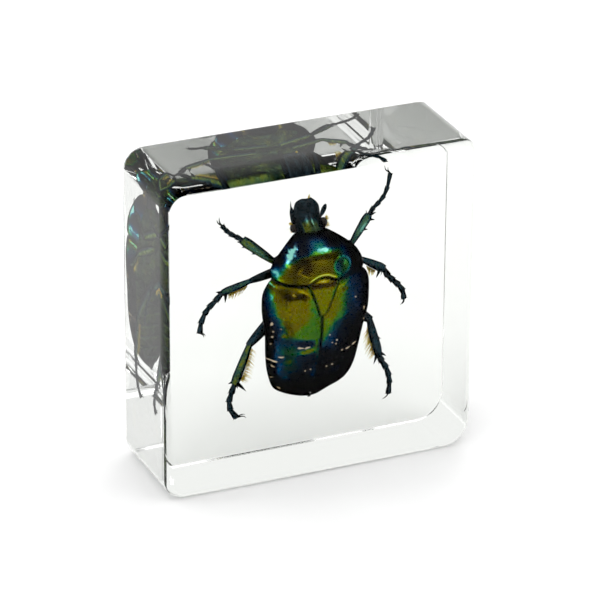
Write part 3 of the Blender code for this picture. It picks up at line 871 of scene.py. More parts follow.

# Patches of colour, as the fields of Patch: on the left case, on the right case and on the pronotum.
# Some are bands of the shell's own colour; many are painted reflections, with painted highlights where
# the shade is well above 1 and painted dark reflections where it is low.
LEFT_PATCHES = tuple(Patch(*row) for row in (
    (-4.20, 23.55, 1.05, 0.50, 0.12, 0.28, -8), (-2.52, 22.80, 1.55, 0.50, 0.04, 0.06, -4),
    (-1.55, 23.36, 0.90, 0.16, 0.16, 2.40, -31, 1.0, 2), (-2.85, 23.07, 0.20, 0.20, 0.14, 3.60, 0, 1.0, 2),
    (-4.63, 22.40, 0.13, 0.55, 0.10, 0.35, 6, 0.85, 2), (-4.15, 22.10, 0.13, 0.45, 0.10, 0.35, 18, 0.85, 2),
    (-3.65, 21.38, 0.38, 0.13, 0.10, 0.35, -15, 0.85, 2),
    (-3.50, 21.85, 0.12, 0.50, 0.10, 0.40, 38, 0.7, 2), (-4.72, 24.10, 0.24, 0.16, 0.48, 6.00, -20, 1.0, 2),
    (-5.06, 22.85, 0.18, 0.30, 0.44, 4.50, 0, 0.9, 2), (-0.12, 20.60, 0.17, 0.65, 0.45, 1.00, 22, 0.8, 2),
    (-2.98, 18.68, 0.32, 0.30, 0.09, 0.65, 0, 0.8, 2), (-3.80, 17.74, 0.46, 0.26, 0.15, 0.90, -20, 1.0, 3),
    (-3.60, 20.45, 0.38, 1.15, 0.17, 1.65, 0, 0.9, 3), (-2.68, 20.20, 0.14, 1.90, 0.15, 1.15, 0, 0.8, 2),
    (-1.40, 16.56, 1.25, 0.36, 0.82, 0.80, -4), (-3.20, 15.60, 1.00, 0.80, 0.33, 0.42, 0, 0.9),
    (-1.00, 15.45, 1.22, 0.34, 0.18, 0.95, 4), (0.18, 16.30, 0.26, 1.35, 0.29, 0.85),
    (-4.47, 15.50, 0.24, 1.60, 0.57, 1.00, 2, 1.0, 3), (-2.95, 13.90, 0.95, 1.10, 0.36, 0.32, 20, 0.8),
    (-3.21, 14.26, 0.34, 0.24, 0.18, 0.90, 0, 1.0, 3), (-3.18, 13.18, 0.38, 0.16, 0.20, 0.75, 0, 1.0, 3),
    (-3.40, 12.20, 0.50, 0.70, 0.46, 0.55, 0, 0.8, 3), (-4.08, 13.10, 0.28, 0.95, 0.60, 2.40, 0, 0.9, 3),
    (0.02, 12.45, 0.34, 0.95, 0.58, 1.60, 0, 0.9, 3), (0.36, 14.60, 0.14, 1.10, 0.36, 0.40, 4, 0.8, 2)))
RIGHT_PATCHES = tuple(Patch(*row) for row in (
    (3.41, 19.70, 0.50, 0.75, 0.32, 1.05, -30, 0.8, 3), (2.59, 18.39, 0.62, 0.40, 0.52, 0.50, 35, 0.85, 3),
    (1.50, 18.90, 0.34, 0.55, 0.30, 1.10, -30, 0.8, 3), (3.60, 23.58, 1.00, 0.15, 0.17, 2.00, 26, 1.0, 2),
    (3.86, 22.92, 0.50, 0.34, 0.18, 0.50, 20), (2.10, 16.30, 0.95, 0.65, 0.63, 1.00, 35, 0.8, 3),
    (2.80, 12.30, 0.90, 0.80, 0.74, 1.00, 0, 0.6, 3), (4.70, 22.20, 0.40, 1.40, 0.60, 1.00, 10, 0.8, 3)))
SHIELD_PATCHES = tuple(Patch(*row) for row in (
    (0.60, 27.00, 2.60, 0.75, 0.13, 0.42, 4, 0.9), (-0.98, 28.35, 0.30, 0.75, 0.90, 1.00, -12),
    (0.66, 28.48, 1.15, 0.80, 0.45, 0.62, -8, 1.0, 3), (0.30, 27.86, 0.75, 0.18, 0.27, 2.00, -4, 0.9, 2),
    (1.22, 28.03, 0.72, 0.27, 0.46, 9.00, -8, 1.0, 2), (-2.48, 27.72, 0.42, 1.25, 0.48, 1.70, -36, 0.85, 2),
    (-2.42, 27.78, 0.19, 0.98, 0.46, 10.0, -36, 1.0, 2), (-3.00, 26.60, 0.26, 0.24, 0.22, 3.20, 0, 0.9, 2),
    (-4.15, 25.55, 0.22, 0.50, 0.46, 5.00, -10, 0.9, 2),
    (-4.05, 24.95, 0.30, 0.16, 0.40, 3.00, -30, 0.8, 2),
    (-1.30, 26.62, 0.60, 0.92, 0.07, 0.22, -36, 0.85, 3),
    (-1.60, 25.85, 1.10, 0.55, 0.08, 0.28, 0, 0.85, 3), (-0.80, 26.15, 0.30, 0.55, 0.05, 0.24, 0, 0.8, 3),
    (-1.95, 25.95, 0.62, 0.10, 0.14, 1.20, 40, 0.9, 2), (-1.40, 25.45, 0.75, 0.09, 0.15, 1.90, -25, 0.9, 2),
    (-0.62, 25.62, 0.08, 0.42, 0.16, 1.80, 28, 0.8, 2), (0.80, 26.80, 0.85, 0.42, 0.15, 0.95, 0, 0.8, 2),
    (0.55, 25.95, 0.9, 0.26, 0.10, 0.70, 8, 0.7, 2)))


@dataclass
class WingCase:
    """One wing case: a domed plate from the suture and the scutellum out to the rolled side margin."""

    side: Side
    finish: Material
    rows: int = 190
    columns: int = 120
    thickness: float = 0.16
    edge_drop: float = 0.24
    edge_width: float = 0.13
    valley_depth: float = 0.16
    valley_width: float = 0.8
    front_drop: float = 0.28
    front_width: float = 0.40
    front: float = 25.35
    rear: float = 7.72
    rear_notch: float = 0.42
    under_angle: float = 114.0
    patches: tuple[Patch, ...] = ()

    def inner_edge(self, height: Array) -> Array:
        """The plate's inner edge: the suture, or the scutellum's edge above its tip.

        Args:
            height: heights in mm.

        Returns:
            The edge's place x at each height.
        """
        left, right = shield_edges(height)
        edge = left if self.side is Side.LEFT else right
        return np.where(height > SHIELD[0, 0], edge, suture_x(height))

    def lift(self, angle: Array, height: Array) -> Array:
        """How far each point stands off the back's main curve, in mm.

        Formula: minus a bell over the distance to the inner edge for its rolled rim, minus a wider bell for
        the valley along the suture, minus a bell below the pronotum's edge, plus the side rim and a slow
        unevenness.

        Args:
            angle: angle across.
            height: heights in mm.

        Returns:
            The lift in mm.
        """
        x = WING_FORM.place(angle, height)[..., 0]
        edge = self.inner_edge(height)
        steps = np.linspace(8, 25.5, 400)
        tilt = np.interp(height, steps, np.gradient(self.inner_edge(steps), 17.5 / 399))
        distance = np.abs(x - edge) / np.sqrt(1 + tilt**2)
        lift = -self.edge_drop * bump_of(distance, self.edge_width)
        valley = bump_of(x - suture_x(height), self.valley_width) * ease((21.5 - height) / 2.5)
        lift -= self.valley_depth * valley
        lift -= self.front_drop * bump_of(np.maximum(seam_height(x) - height, 0.0), self.front_width)
        rim = np.abs(np.degrees(angle))
        lift += 0.10 * bump_of(rim - 84.0, 7.0) * ease((height - 9.0) / 2)
        return lift + 0.012 * wobble(x, height, 2.2, 0.7) * ease((90 - rim) / 30)

    def tints(self, angle: Array, height: Array) -> tuple[Array, Array]:
        """Colour: bands from the gold field out to black, the dark rear, patches and dark edges.

        Args:
            angle, height: places on the back's main curve.

        Returns:
            Tone and shade.
        """
        place = WING_FORM.place(angle, height)
        x = place[..., 0] + 0.14 * wobble(place[..., 0], height, 1.7, 2.1)
        z = height + 0.13 * wobble(place[..., 0], height, 1.9, 4.4)
        shade = np.full_like(x, 0.84)
        if self.side is Side.LEFT:
            past = x - np.interp(z, *GOLD_LEFT.T)
            tone = np.interp(past, [-1.7, -1.3, -0.9, -0.55, -0.2, 0.0, 0.3],
                             [0.94, 0.84, 0.70, 0.58, 0.44, 0.28, 0.15])
            green = x - np.interp(z, *GREEN_LEFT.T)
            tone = np.maximum(tone, np.interp(green, [-0.25, 0.1, 0.5, 1.6], [0.0, 0.22, 0.30, 0.31]))
            rear = np.interp(z, [8.0, 11.0, 13.0, 15.5, 17.2], [0.98, 0.94, 0.82, 0.75, 0.53])
            gone = ease((np.interp(x, *GOLD_REAR.T) - z) / 0.4 + 0.5)
            tone = np.maximum(tone, rear * gone)
        else:
            past = x - np.interp(z, *GOLD_RIGHT.T)
            tone = np.interp(past, [-1.6, -0.9, -0.4, 0.0, 0.35, 0.7, 1.1, 1.8, 2.8, 3.8],
                             [0.16, 0.20, 0.28, 0.36, 0.47, 0.58, 0.72, 0.80, 0.84, 0.93])
            shade = shade * (1 + 0.7 * ease((past - 0.9) / 0.5) * ease((z - 15.5) / 2))
            rear = np.interp(z, [8.0, 12.0, 15.0, 16.5], [0.98, 0.93, 0.85, 0.68])
            tone = np.maximum(tone, rear * ease((16.3 - z) / 0.8))
        uneven = ease(0.6 + 0.7 * wobble(place[..., 0], height, 0.9, 7.7))
        shade = shade * (1 - 0.45 * ease((tone - 0.42) / 0.15) * uneven)
        for patch in self.patches:
            tone, shade = patch.onto(tone, shade, x, z)
        # Painted shade along the inner edge and below the pronotum's edge, where the plates meet.
        rim = bump_of(np.abs(place[..., 0] - self.inner_edge(height)), 0.15)
        seam = bump_of(np.maximum(seam_height(place[..., 0]) - height, 0.0), 0.17)
        return np.maximum(tone, 1.1 * np.maximum(rim, seam)), shade * (1 - 0.8 * np.maximum(rim, seam))

    def build(self) -> bpy.types.Object:
        """Builds the plate.

        Returns:
            Its object.
        """
        across, down = np.meshgrid(crowded(self.columns, 0.8), crowded(self.rows, 0.55))
        end = self.rear + self.rear_notch * bump_of(across, 0.06)
        height = towards(self.front, end, down)
        inner = WING_FORM.angle_at(self.inner_edge(height) + self.side.value * 0.03, height)
        angle = towards(inner, math.radians(self.under_angle) * self.side.value, across)
        grid = WING_FORM.lifted(angle, height, self.lift(angle, height))
        tone, shade = self.tints(angle, height)
        turn = slice(None, None, -self.side.value)
        shape = Shape.plate(grid[::-1, turn], self.thickness, tone[::-1, turn], shade[::-1, turn])
        return make_piece("wing_case_" + self.side.name.lower(), shape, self.finish)


@dataclass
class Pronotum:
    """The shield behind the head: a domed plate with rolled edges and a shallow ring on its right."""

    finish: Material
    rows: int = 150
    columns: int = 190
    thickness: float = 0.16
    edge_drop: float = 0.30
    edge_width: float = 0.16
    ring_centre: tuple[float, float] = (3.42, 25.98)
    ring_radius: float = 1.06
    under_angle: float = 112.0
    patches: tuple[Patch, ...] = ()

    def lift(self, x: Array, height: Array, angle: Array, from_rear: Array) -> Array:
        """How far each point stands off the main curve: rolled rear edge, side rim and the ring's groove.

        Args:
            x, height: places in mm.
            angle: angle across.
            from_rear: distance from the rear edge in mm.

        Returns:
            The lift in mm.
        """
        lift = 0.07 - self.edge_drop * bump_of(from_rear, self.edge_width)
        lift = lift + 0.09 * bump_of(np.abs(np.degrees(angle)) - 83.0, 6.0)
        lift -= 0.045 * bump_of(self.from_ring(x, height) - self.ring_radius, 0.16)
        return lift + 0.010 * wobble(x, height, 2.0, 1.3)

    def from_ring(self, x: Array, height: Array) -> Array:
        """Distance from the ring's middle, with the height a little stretched."""
        return np.hypot(x - self.ring_centre[0], (height - self.ring_centre[1]) * 1.08)

    def tints(self, x: Array, height: Array, from_rear: Array) -> tuple[Array, Array]:
        """Colour: gold in the rear middle, teal round it, black in front and at the sides.

        Args:
            x, height: places in mm.
            from_rear: distance from the rear edge in mm.

        Returns:
            Tone and shade.
        """
        u = x + 0.13 * wobble(x, height, 1.6, 3.2)
        z = height + 0.10 * wobble(x, height, 1.8, 5.1)
        ahead = np.interp(z, [27.3, 27.75, 28.1, 28.5], [0.15, 0.40, 0.72, 0.92])
        left = np.interp(u - np.interp(z, *GOLD_SHIELD.T), [-1.5, -1.0, -0.6, -0.3, 0.0, 0.3],
                         [0.93, 0.80, 0.62, 0.48, 0.28, 0.13])
        right = np.interp(u, [2.0, 2.4, 2.9, 3.6, 4.3, 5.0], [0.13, 0.30, 0.40, 0.58, 0.76, 0.94])
        tone, shade = np.maximum(np.maximum(ahead, left), right), np.full_like(x, 0.47)
        for patch in self.patches:
            tone, shade = patch.onto(tone, shade, u, z)
        away = self.from_ring(x, height)
        inside = ease((self.ring_radius - away) / 0.3)
        tone = towards(tone, np.interp(x, [2.5, 3.0, 3.5, 4.4], [0.56, 0.50, 0.37, 0.34]), inside)
        shade = towards(shade, 0.50, inside)
        ring = bump_of(away - self.ring_radius, 0.11)
        tone, shade = towards(tone, 0.42, ring), towards(shade, 1.9, ring)
        # Painted highlight: a bright gold crescent along the rolled rear edge.
        crescent = bump_of(from_rear - 0.34, 0.14) * ease((x + 1.1) / 0.6) * ease((2.9 - x) / 0.6)
        tone, shade = towards(tone, 0.18, crescent), towards(shade, 3.0, crescent)
        # Painted shade along the rear edge, where the pronotum meets the wing cases.
        rim = bump_of(np.maximum(from_rear - 0.05, 0.0), 0.10)
        return np.maximum(tone, 1.1 * rim), shade * (1 - 0.8 * rim)

    def build(self) -> bpy.types.Object:
        """Builds the plate: rows run from the seam to the front edge, columns from left to right.

        Returns:
            Its object.
        """
        across, along = np.meshgrid(np.linspace(-1, 1, self.columns), crowded(self.rows, 0.7))
        angle = math.radians(self.under_angle) * across
        rear = seam_height(PRONOTUM_FORM.place(angle[0], np.full(self.columns, 24.4))[:, 0])[None, :]
        front = 30.1 - 0.25 * np.abs(across) ** 3
        height = towards(rear, front, along)
        base = PRONOTUM_FORM.place(angle, height)
        from_rear = np.abs(height - rear)
        lift = self.lift(base[..., 0], height, angle, from_rear)
        lift -= 0.35 * bump_of(front - height, 0.22)
        grid = PRONOTUM_FORM.lifted(angle, height, lift)
        shape = Shape.plate(grid, self.thickness, *self.tints(base[..., 0], height, from_rear))
        return make_piece("pronotum", shape, self.finish)


@dataclass
class Scutellum:
    """The small rounded triangle between the wing cases."""

    finish: Material
    rows: int = 110
    columns: int = 60
    thickness: float = 0.16
    edge_drop: float = 0.22
    edge_width: float = 0.12
    front_drop: float = 0.28
    front_width: float = 0.36
    rear: float = 19.93
    front: float = 25.5

    def build(self) -> bpy.types.Object:
        """Builds the plate: each row runs from the left edge to the right edge, just inside the groove.

        Returns:
            Its object.
        """
        across, up = np.meshgrid(crowded(self.columns, 0.8), crowded(self.rows, 0.6))
        height = towards(self.rear, self.front, up)
        left, right = shield_edges(height)
        gap = np.minimum(0.04, 0.2 * (right - left))
        x = left + gap + (right - left - 2 * gap) * across
        angle = WING_FORM.angle_at(x, height)
        distance = np.minimum(x - left, right - x) * 0.93
        distance = np.minimum(distance, (height - 19.88) * 0.8)
        lift = 0.02 - self.edge_drop * bump_of(distance, self.edge_width)
        lift -= self.front_drop * bump_of(np.maximum(seam_height(x) - height, 0.0), self.front_width)
        lift += 0.010 * wobble(x, height, 1.6, 6.2)
        # The dark band just below the pronotum's edge is a painted dark reflection on the lip that dips under
        # it.
        tone = np.interp(height, [20.0, 22.5, 23.4, 23.6, 24.1, 24.25, 24.6, 25.0],
                         [0.20, 0.19, 0.17, 0.06, 0.03, 0.12, 0.16, 0.12])
        blue = bump_of(np.maximum(right - x - 0.12, 0.0), 0.16) * ease((height - 21.8) / 0.8)
        tone = towards(tone, 0.50, 0.8 * blue)
        # Painted shade in the grooves along its edges and under the pronotum.
        rim = np.maximum(bump_of(distance, 0.13), bump_of(np.maximum(seam_height(x) - height, 0.0), 0.20))
        tone = np.maximum(tone, 1.1 * rim)
        # Painted highlight on the lip under the pronotum, with a painted dark reflection just below it.
        glint = bump_of(height - 24.40, 0.15) * bump_of(x - 0.9, 0.6)
        shade = 0.95 - 0.6 * bump_of(height - 23.85, 0.28) + 2.2 * glint
        shade = shade * (1 - 0.8 * rim)
        shape = Shape.plate(WING_FORM.lifted(angle, height, lift), self.thickness, tone, shade)
        return make_piece("scutellum", shape, self.finish)


# ---------------------------------------------------------------- limbs
def limb_rings(route: Array, widths: Array, thicknesses: Array, samples: int = 40, sides: int = 20,
               power: float = 2.2, keel: float = 0.0) -> Array:
    """Rings of a limb that is carried along a smooth path.

    Formula: the path is a spline through the route over its length. At each sample the ring is
    path + across * w/2 * |cos a|^(2/p) + upright * t/2 * |sin a|^(2/p), where across lies in the plane of the
    block's face; a keel adds a low ridge along the middle of the upper side.

    Args:
        route: points in mm, (n, 3).
        widths: widths across at even steps along the limb.
        thicknesses: thicknesses along Y at even steps.
        samples: rings along the limb.
        sides: points round a ring.
        power: 2 is an ellipse, more is boxier.
        keel: height of the keel in mm.

    Returns:
        The rings, (samples, sides, 3).
    """
    route = np.asarray(route, float)
    length = np.concatenate([[0.0], np.cumsum(np.linalg.norm(np.diff(route, axis=0), axis=1))])
    t = np.linspace(0.0, 1.0, samples)
    path = natural_spline(length, route, t * length[-1])
    along = unit(np.gradient(path, axis=0))
    across = unit(np.cross(along, [0.0, 1.0, 0.0]))
    upright = np.cross(across, along)
    steps = np.linspace(0.0, 1.0, len(widths))
    sizes = np.maximum(natural_spline(steps, np.stack([widths, thicknesses], -1), t), 0.01)
    angle = round_angles(sides)
    wide = sizes[:, :1] / 2 * boxed(np.cos(angle), power)
    high = sizes[:, 1:2] / 2 * boxed(np.sin(angle), power)
    high = high + keel * bump_of(np.cos(angle), 0.22) * np.sign(np.sin(angle))
    return path[:, None] + across[:, None] * wide[..., None] + upright[:, None] * high[..., None]


def spike(root: Array, tip: Array, width: float, bend: float = 0.0, samples: int = 9,
          sides: int = 8) -> Array:
    """A curved thorn, which bends across its length by bend * sin(pi t) and thins as (1 - t^1.6).

    Args:
        root, tip: its ends in mm.
        width: width at the root in mm.
        bend: how far it bends, in mm.
        samples: rings along it.
        sides: points round a ring.

    Returns:
        The rings, (samples, sides, 3).
    """
    root, tip = np.asarray(root, float), np.asarray(tip, float)
    t = np.linspace(0.0, 1.0, samples)
    side = unit(np.cross(tip - root, [0.0, 1.0, 0.0]))
    path = root + (tip - root) * t[:, None] + side * (bend * np.sin(math.pi * t))[:, None]
    size = width * (1 - t**1.6) + 0.02
    return limb_rings(path, size, size * 0.8, samples, sides, 2.0)


def hairs(roots: Array, tips: Array, width: float, bend: Array, tone: Array) -> Shape:
    """Tapered hairs with three sides, each bent to one side like a bow.

    Formula: a hair's middle line is root + (tip - root) * t + side * bend * sin(pi t), and its radius is
    width / 2 * (1 - t)^0.6.

    Args:
        roots, tips: ends in mm, (n, 3).
        width: width at the root in mm.
        bend: sideways bow of each hair in mm, (n,).
        tone: colour place of each hair, (n,).

    Returns:
        All the hairs as one shape of closed tubes.
    """
    steps, sides = 6, 3
    t = np.linspace(0.0, 1.0, steps)
    way = tips - roots
    side = unit(np.cross(way, [0.0, 1.0, 0.0]))
    other = unit(np.cross(way, side))
    middle = (roots[:, None] + way[:, None] * t[None, :, None]
              + side[:, None] * (bend[:, None] * np.sin(math.pi * t))[..., None])
    radius = width / 2 * np.maximum(1 - t, 0.03) ** 0.6
    angle = round_angles(sides)
    ring = (side[:, None, None] * np.cos(angle)[None, None, :, None]
            + other[:, None, None] * np.sin(angle)[None, None, :, None])
    points = middle[:, :, None] + ring * radius[None, :, None, None]
    count = len(roots)
    base = np.arange(count * steps * sides).reshape(count, steps, sides)
    after = np.roll(base, -1, axis=2)
    walls = np.stack([base[:, :-1], after[:, :-1], after[:, 1:], base[:, 1:]], -1).reshape(-1, 4)
    ends = np.concatenate([base[:, 0, ::-1], base[:, -1]])
    ends = np.concatenate([ends, ends[:, 2:]], -1)
    return Shape(points.reshape(-1, 3), np.concatenate([walls, ends]), np.repeat(tone, steps * sides))


@dataclass
class Fringe:
    """A comb of hairs along a shin: root line, tip line, and how many."""

    roots: tuple[tuple[float, float, float], ...]
    tips: tuple[tuple[float, float, float], ...]
    count: int = 22
    width: float = 0.13
    under_count: int = 60
    under_share: float = 0.45
    under_width: float = 0.12
    under_tone: float = -0.35
    tones: tuple[float, float] = (0.55, 0.95)

    def row(self, change: np.random.Generator, count: int, share_of: float, width: float,
            tone_shift: float) -> Shape:
        """One row of hairs: each runs from a place on the root line towards the same share of the tip line.

        Args:
            change: the source of small changes.
            count: how many hairs.
            share_of: their length, as a share of the way to the tip line.
            width: width at the root in mm.
            tone_shift: added to the colour place.

        Returns:
            The hairs.
        """
        share = np.clip((np.arange(count) + 0.5 + change.uniform(-0.25, 0.25, count)) / count, 0.0, 1.0)
        roots = natural_spline(np.linspace(0, 1, len(self.roots)), np.array(self.roots), share)
        tips = natural_spline(np.linspace(0, 1, len(self.tips)), np.array(self.tips), share)
        tips = roots + (tips - roots) * share_of * change.uniform(0.85, 1.12, (count, 1))
        tips += change.normal(0.0, 0.05, tips.shape)
        roots[:, 1] += change.uniform(-0.15, 0.15, count)
        tone = np.interp(share, [0, 1], self.tones) + tone_shift + change.normal(0.0, 0.08, count)
        return hairs(roots, tips, width, change.normal(0.05, 0.04, count), np.clip(tone, 0, 1))

    def build(self, seed: int) -> Shape:
        """The long bristles, and a dense row of short pale ones at their roots.

        Args:
            seed: of the small changes.

        Returns:
            The hairs.
        """
        change = np.random.default_rng(seed)
        return Shape.joined([self.row(change, self.count, 1.0, self.width, 0.0),
                             self.row(change, self.under_count, self.under_share, self.under_width,
                                      self.under_tone)])


@dataclass
class Leg:
    """One leg: thigh, toothed shin, a foot of four or five joints and two claws. Places are in mm.

    Attributes:
        hip, knee, ankle: the main joints.
        thigh, shin: greatest widths.
        foot: ends of the foot's joints.
        claws: tips of the two claws.
        teeth: tips of the shin's teeth and spurs.
        spurs: tips of thin movable spurs beside the ankle.
        tones: colour places of thigh, shin, shin's painted lit side, and foot.
        lit: the way that the painted lit strip along the leg faces.
        glints: painted highlights on the shin, as (share of its length, place across from -1 to 1, half
            length, strength).
    """

    name: str
    hip: tuple[float, float, float]
    knee: tuple[float, float, float]
    ankle: tuple[float, float, float]
    thigh: float
    shin: float
    foot: tuple[tuple[float, float, float], ...]
    claws: tuple[tuple[float, float, float], ...]
    teeth: tuple[tuple[float, float, float], ...]
    spurs: tuple[tuple[float, float, float], ...] = ()
    tones: tuple[float, float, float, float] = (0.8, 0.35, 0.2, 0.85)
    fringe: Fringe | None = None
    foot_width: float = 0.86
    lit: tuple[float, float, float] = (-0.3, -0.9, 0.2)
    glints: tuple[tuple[float, float, float, float], ...] = ()

    def shade(self, rings: Array, dark: float, bright: float, way: Array, start: float = 0.35) -> Array:
        """Tones of a limb: dark where it turns away from a way, bright where it faces it.

        Formula: dark + (bright - dark) * ease((cosine of the angle to the way - start) / 0.45). The tones are
        painted light and shade by the way each place faces.

        Args:
            rings: the limb's rings.
            dark, bright: the two tones.
            way: the way that the bright side faces.
            start: the cosine where the bright side starts.

        Returns:
            The tones, (rings, sides).
        """
        out = unit(rings - rings.mean(1, keepdims=True))
        return towards(dark, bright, ease((out @ unit(way) - start) / 0.45))

    def thigh_shape(self) -> Shape:
        """The thigh: a flattened club that narrows to the knee.

        Returns:
            The thigh.
        """
        hip, knee = np.array(self.hip), np.array(self.knee)
        route = [hip, hip + (knee - hip) * 0.5 + [0, -0.08, 0], knee + (knee - hip) * 0.04]
        widths = self.thigh * np.array([0.75, 0.98, 1.02, 1.00, 0.92, 0.80, 0.58])
        thick = np.array([0.8, 0.95, 1.0, 1.0, 0.92, 0.8, 0.45])
        rings = limb_rings(route, widths, thick, 44, 26, 2.3)
        # Painted light: a lit side, a bright underside and a painted highlight streak along it.
        above = self.shade(rings, 0.90, self.tones[0], np.array(self.lit))
        under = self.shade(rings, 0.0, 1.0, np.array([0.15, 1.0, 0.25]), 0.45)
        streak = self.shade(rings, 0.0, 1.0, np.array([0.2, 1.0, 0.5]), 0.80)
        return Shape.tube(rings, towards(above, 0.24, under), 1.0 + 1.4 * streak)

    def shin_shape(self) -> list[Shape]:
        """The shin with its long ridges, teeth and spurs.

        Returns:
            The shin, then each tooth and spur.
        """
        knee, ankle = np.array(self.knee), np.array(self.ankle)
        start = knee - (ankle - knee) * 0.04
        route = [start, knee + (ankle - knee) * 0.5, ankle]
        widths = self.shin * np.array([0.58, 0.72, 0.84, 0.92, 0.98, 1.02, 0.86])
        thick = np.array([0.42, 0.55, 0.64, 0.70, 0.74, 0.74, 0.6])
        rings = limb_rings(route, widths, thick, 56, 28, 2.6, keel=0.07)
        # Painted light: a lit side, a brighter strip and underside, and painted highlights at the glints.
        tone = self.shade(rings, 0.90, self.tones[1], np.array(self.lit))
        stripe = self.shade(rings, 0.0, 1.0, np.array(self.lit) + [-self.lit[0] * 1.6, 0.0, 0.35], 0.65)
        tone = towards(tone, self.tones[2], stripe)
        under = self.shade(rings, 0.0, 1.0, np.array([0.15, 1.0, 0.25]), 0.45)
        tone = towards(tone, 0.30, under)
        t, across = np.linspace(0.0, 1.0, 56)[:, None], np.cos(round_angles(28))
        front = self.shade(rings, 0.0, 1.0, np.array([0.0, -1.0, 0.0]), 0.0)
        glow = sum((power * bump_of(t - place, long) * bump_of(across - aside, 0.28) * front
                    for place, aside, long, power in self.glints), np.zeros_like(tone))
        tone = tone + 0.14 * wobble(rings[..., 0], rings[..., 2], 1.7, 0.5)
        tone = towards(tone, 0.45, np.minimum(glow, 1.0))
        # Painted shade: a dark rim where the shin's front turns away at its edges.
        tone = towards(tone, 0.94, front * ease((np.abs(across) - 0.70) / 0.22))
        shapes = [Shape.tube(rings, np.clip(tone, 0, 1), 1.0 + glow)]
        line = ankle - knee
        for tip in self.teeth + self.spurs:
            thin = tip in self.spurs
            reach = (np.array(tip) - knee) @ line / (line @ line)
            back = 0.04 if thin else 0.13
            root = knee + line * min(reach - back, 0.95)
            width = 0.20 if thin else 0.52
            shapes.append(Shape.tube(spike(root, tip, width, 0.03), 0.90))
        return shapes

    def foot_shape(self) -> list[Shape]:
        """The foot: cones that flare to their far ends, each with two small thorns, and two curved claws.

        Returns:
            Each cone with its thorns, then the claws.
        """
        joints = [np.array(self.ankle)] + [np.array(point) for point in self.foot]
        shapes = []
        for number, (a, b) in enumerate(zip(joints, joints[1:])):
            size = self.foot_width * (1.0 - 0.03 * number)
            widths = size * np.array([0.70, 0.76, 0.84, 0.94, 1.0, 0.80])
            past = b + (b - a) * 0.05
            rings = limb_rings([a, (a + past) / 2, past], widths, widths * 0.85, 18, 16, 2.1)
            # Painted light: each joint is lighter on the side that faces the lit way.
            shapes.append(Shape.tube(rings, self.shade(rings, 0.92, self.tones[3], np.array(self.lit), 0.5)))
            side = unit(np.cross(b - a, [0.0, 1.0, 0.0]))
            for sign in (-1, 1):
                root = a + (b - a) * 0.84 + side * sign * size * 0.3
                tip = b + side * sign * size * 0.62 + (b - a) * 0.08
                shapes.append(Shape.tube(spike(root, tip, 0.12, 0.0, 6, 6), 0.92))
        toe, last = joints[-1], joints[-2]
        for tip in self.claws:
            tip = np.array(tip)
            side = np.cross(tip - toe, [0.0, 1.0, 0.0])
            route = [toe + (last - toe) * 0.25, toe, toe + (tip - toe) * 0.55 + side * 0.13, tip]
            rings = limb_rings(route, (0.2, 0.2, 0.17, 0.12, 0.03), (0.2, 0.2, 0.16, 0.11, 0.03), 20, 10, 2.0)
            shapes.append(Shape.tube(rings, 0.95))
        return shapes

    def build(self, finish: Material, hair: Material, seed: int) -> None:
        """Builds the leg as one piece, and its fringe of hairs as another.

        Args:
            finish, hair: the materials.
            seed: of the fringe's small changes.
        """
        shape = Shape.joined([self.thigh_shape(), *self.shin_shape(), *self.foot_shape()])
        make_piece("leg_" + self.name, shape, finish)
        if self.fringe:
            make_piece("shin_hairs_" + self.name, self.fringe.build(seed), hair)


# ---------------------------------------------------------------- trunk, head and what it carries
@dataclass
class RoundForm:
    """A closed form round the middle line.

    Attributes:
        rows: (height, left edge, right edge, back, margin, belly) in mm, from the rear to the front.
        power: 2 gives an ellipse across, more is boxier.
    """

    rows: tuple[tuple[float, ...], ...]
    power: float = 2.4

    def rings(self, heights: Array, sides: int) -> Array:
        """Rings at the heights.

        Formula: half width * |cos a|^(2/p) across, and the back's or the belly's depth * |sin a|^(2/p).

        Args:
            heights: where the rings lie, in mm.
            sides: points round a ring; the first is at the right margin, a quarter round is the back.

        Returns:
            Points, (heights, sides, 3).
        """
        table = np.array(self.rows)
        columns = natural_spline(table[:, 0], table[:, 1:], heights)[:, None]
        left, right, back, margin, belly = np.moveaxis(columns, -1, 0)
        angle = round_angles(sides)[None, :]
        x = (left + right) / 2 + (right - left) / 2 * boxed(np.cos(angle), self.power)
        sin = np.abs(np.sin(angle)) ** (2 / self.power)
        y = np.where(np.sin(angle) > 0, margin - (margin - back) * sin, margin + (belly - margin) * sin)
        return np.stack([x, y, np.broadcast_to(heights[:, None], x.shape)], -1)


def pushed(rings: Array, lift: Array) -> Array:
    """Rings moved out along their own normals; out is away from each ring's middle.

    Args:
        rings: rings of points.
        lift: how far out, in mm.

    Returns:
        The moved rings.
    """
    closed = np.concatenate([rings[:, -1:], rings, rings[:, :1]], 1)
    normal = normals_of(closed)[:, 1:-1]
    outward = np.sign((normal * (rings - rings.mean(1, keepdims=True))).sum(-1, keepdims=True))
    return rings + normal * np.where(outward == 0, 1.0, outward) * lift[..., None]


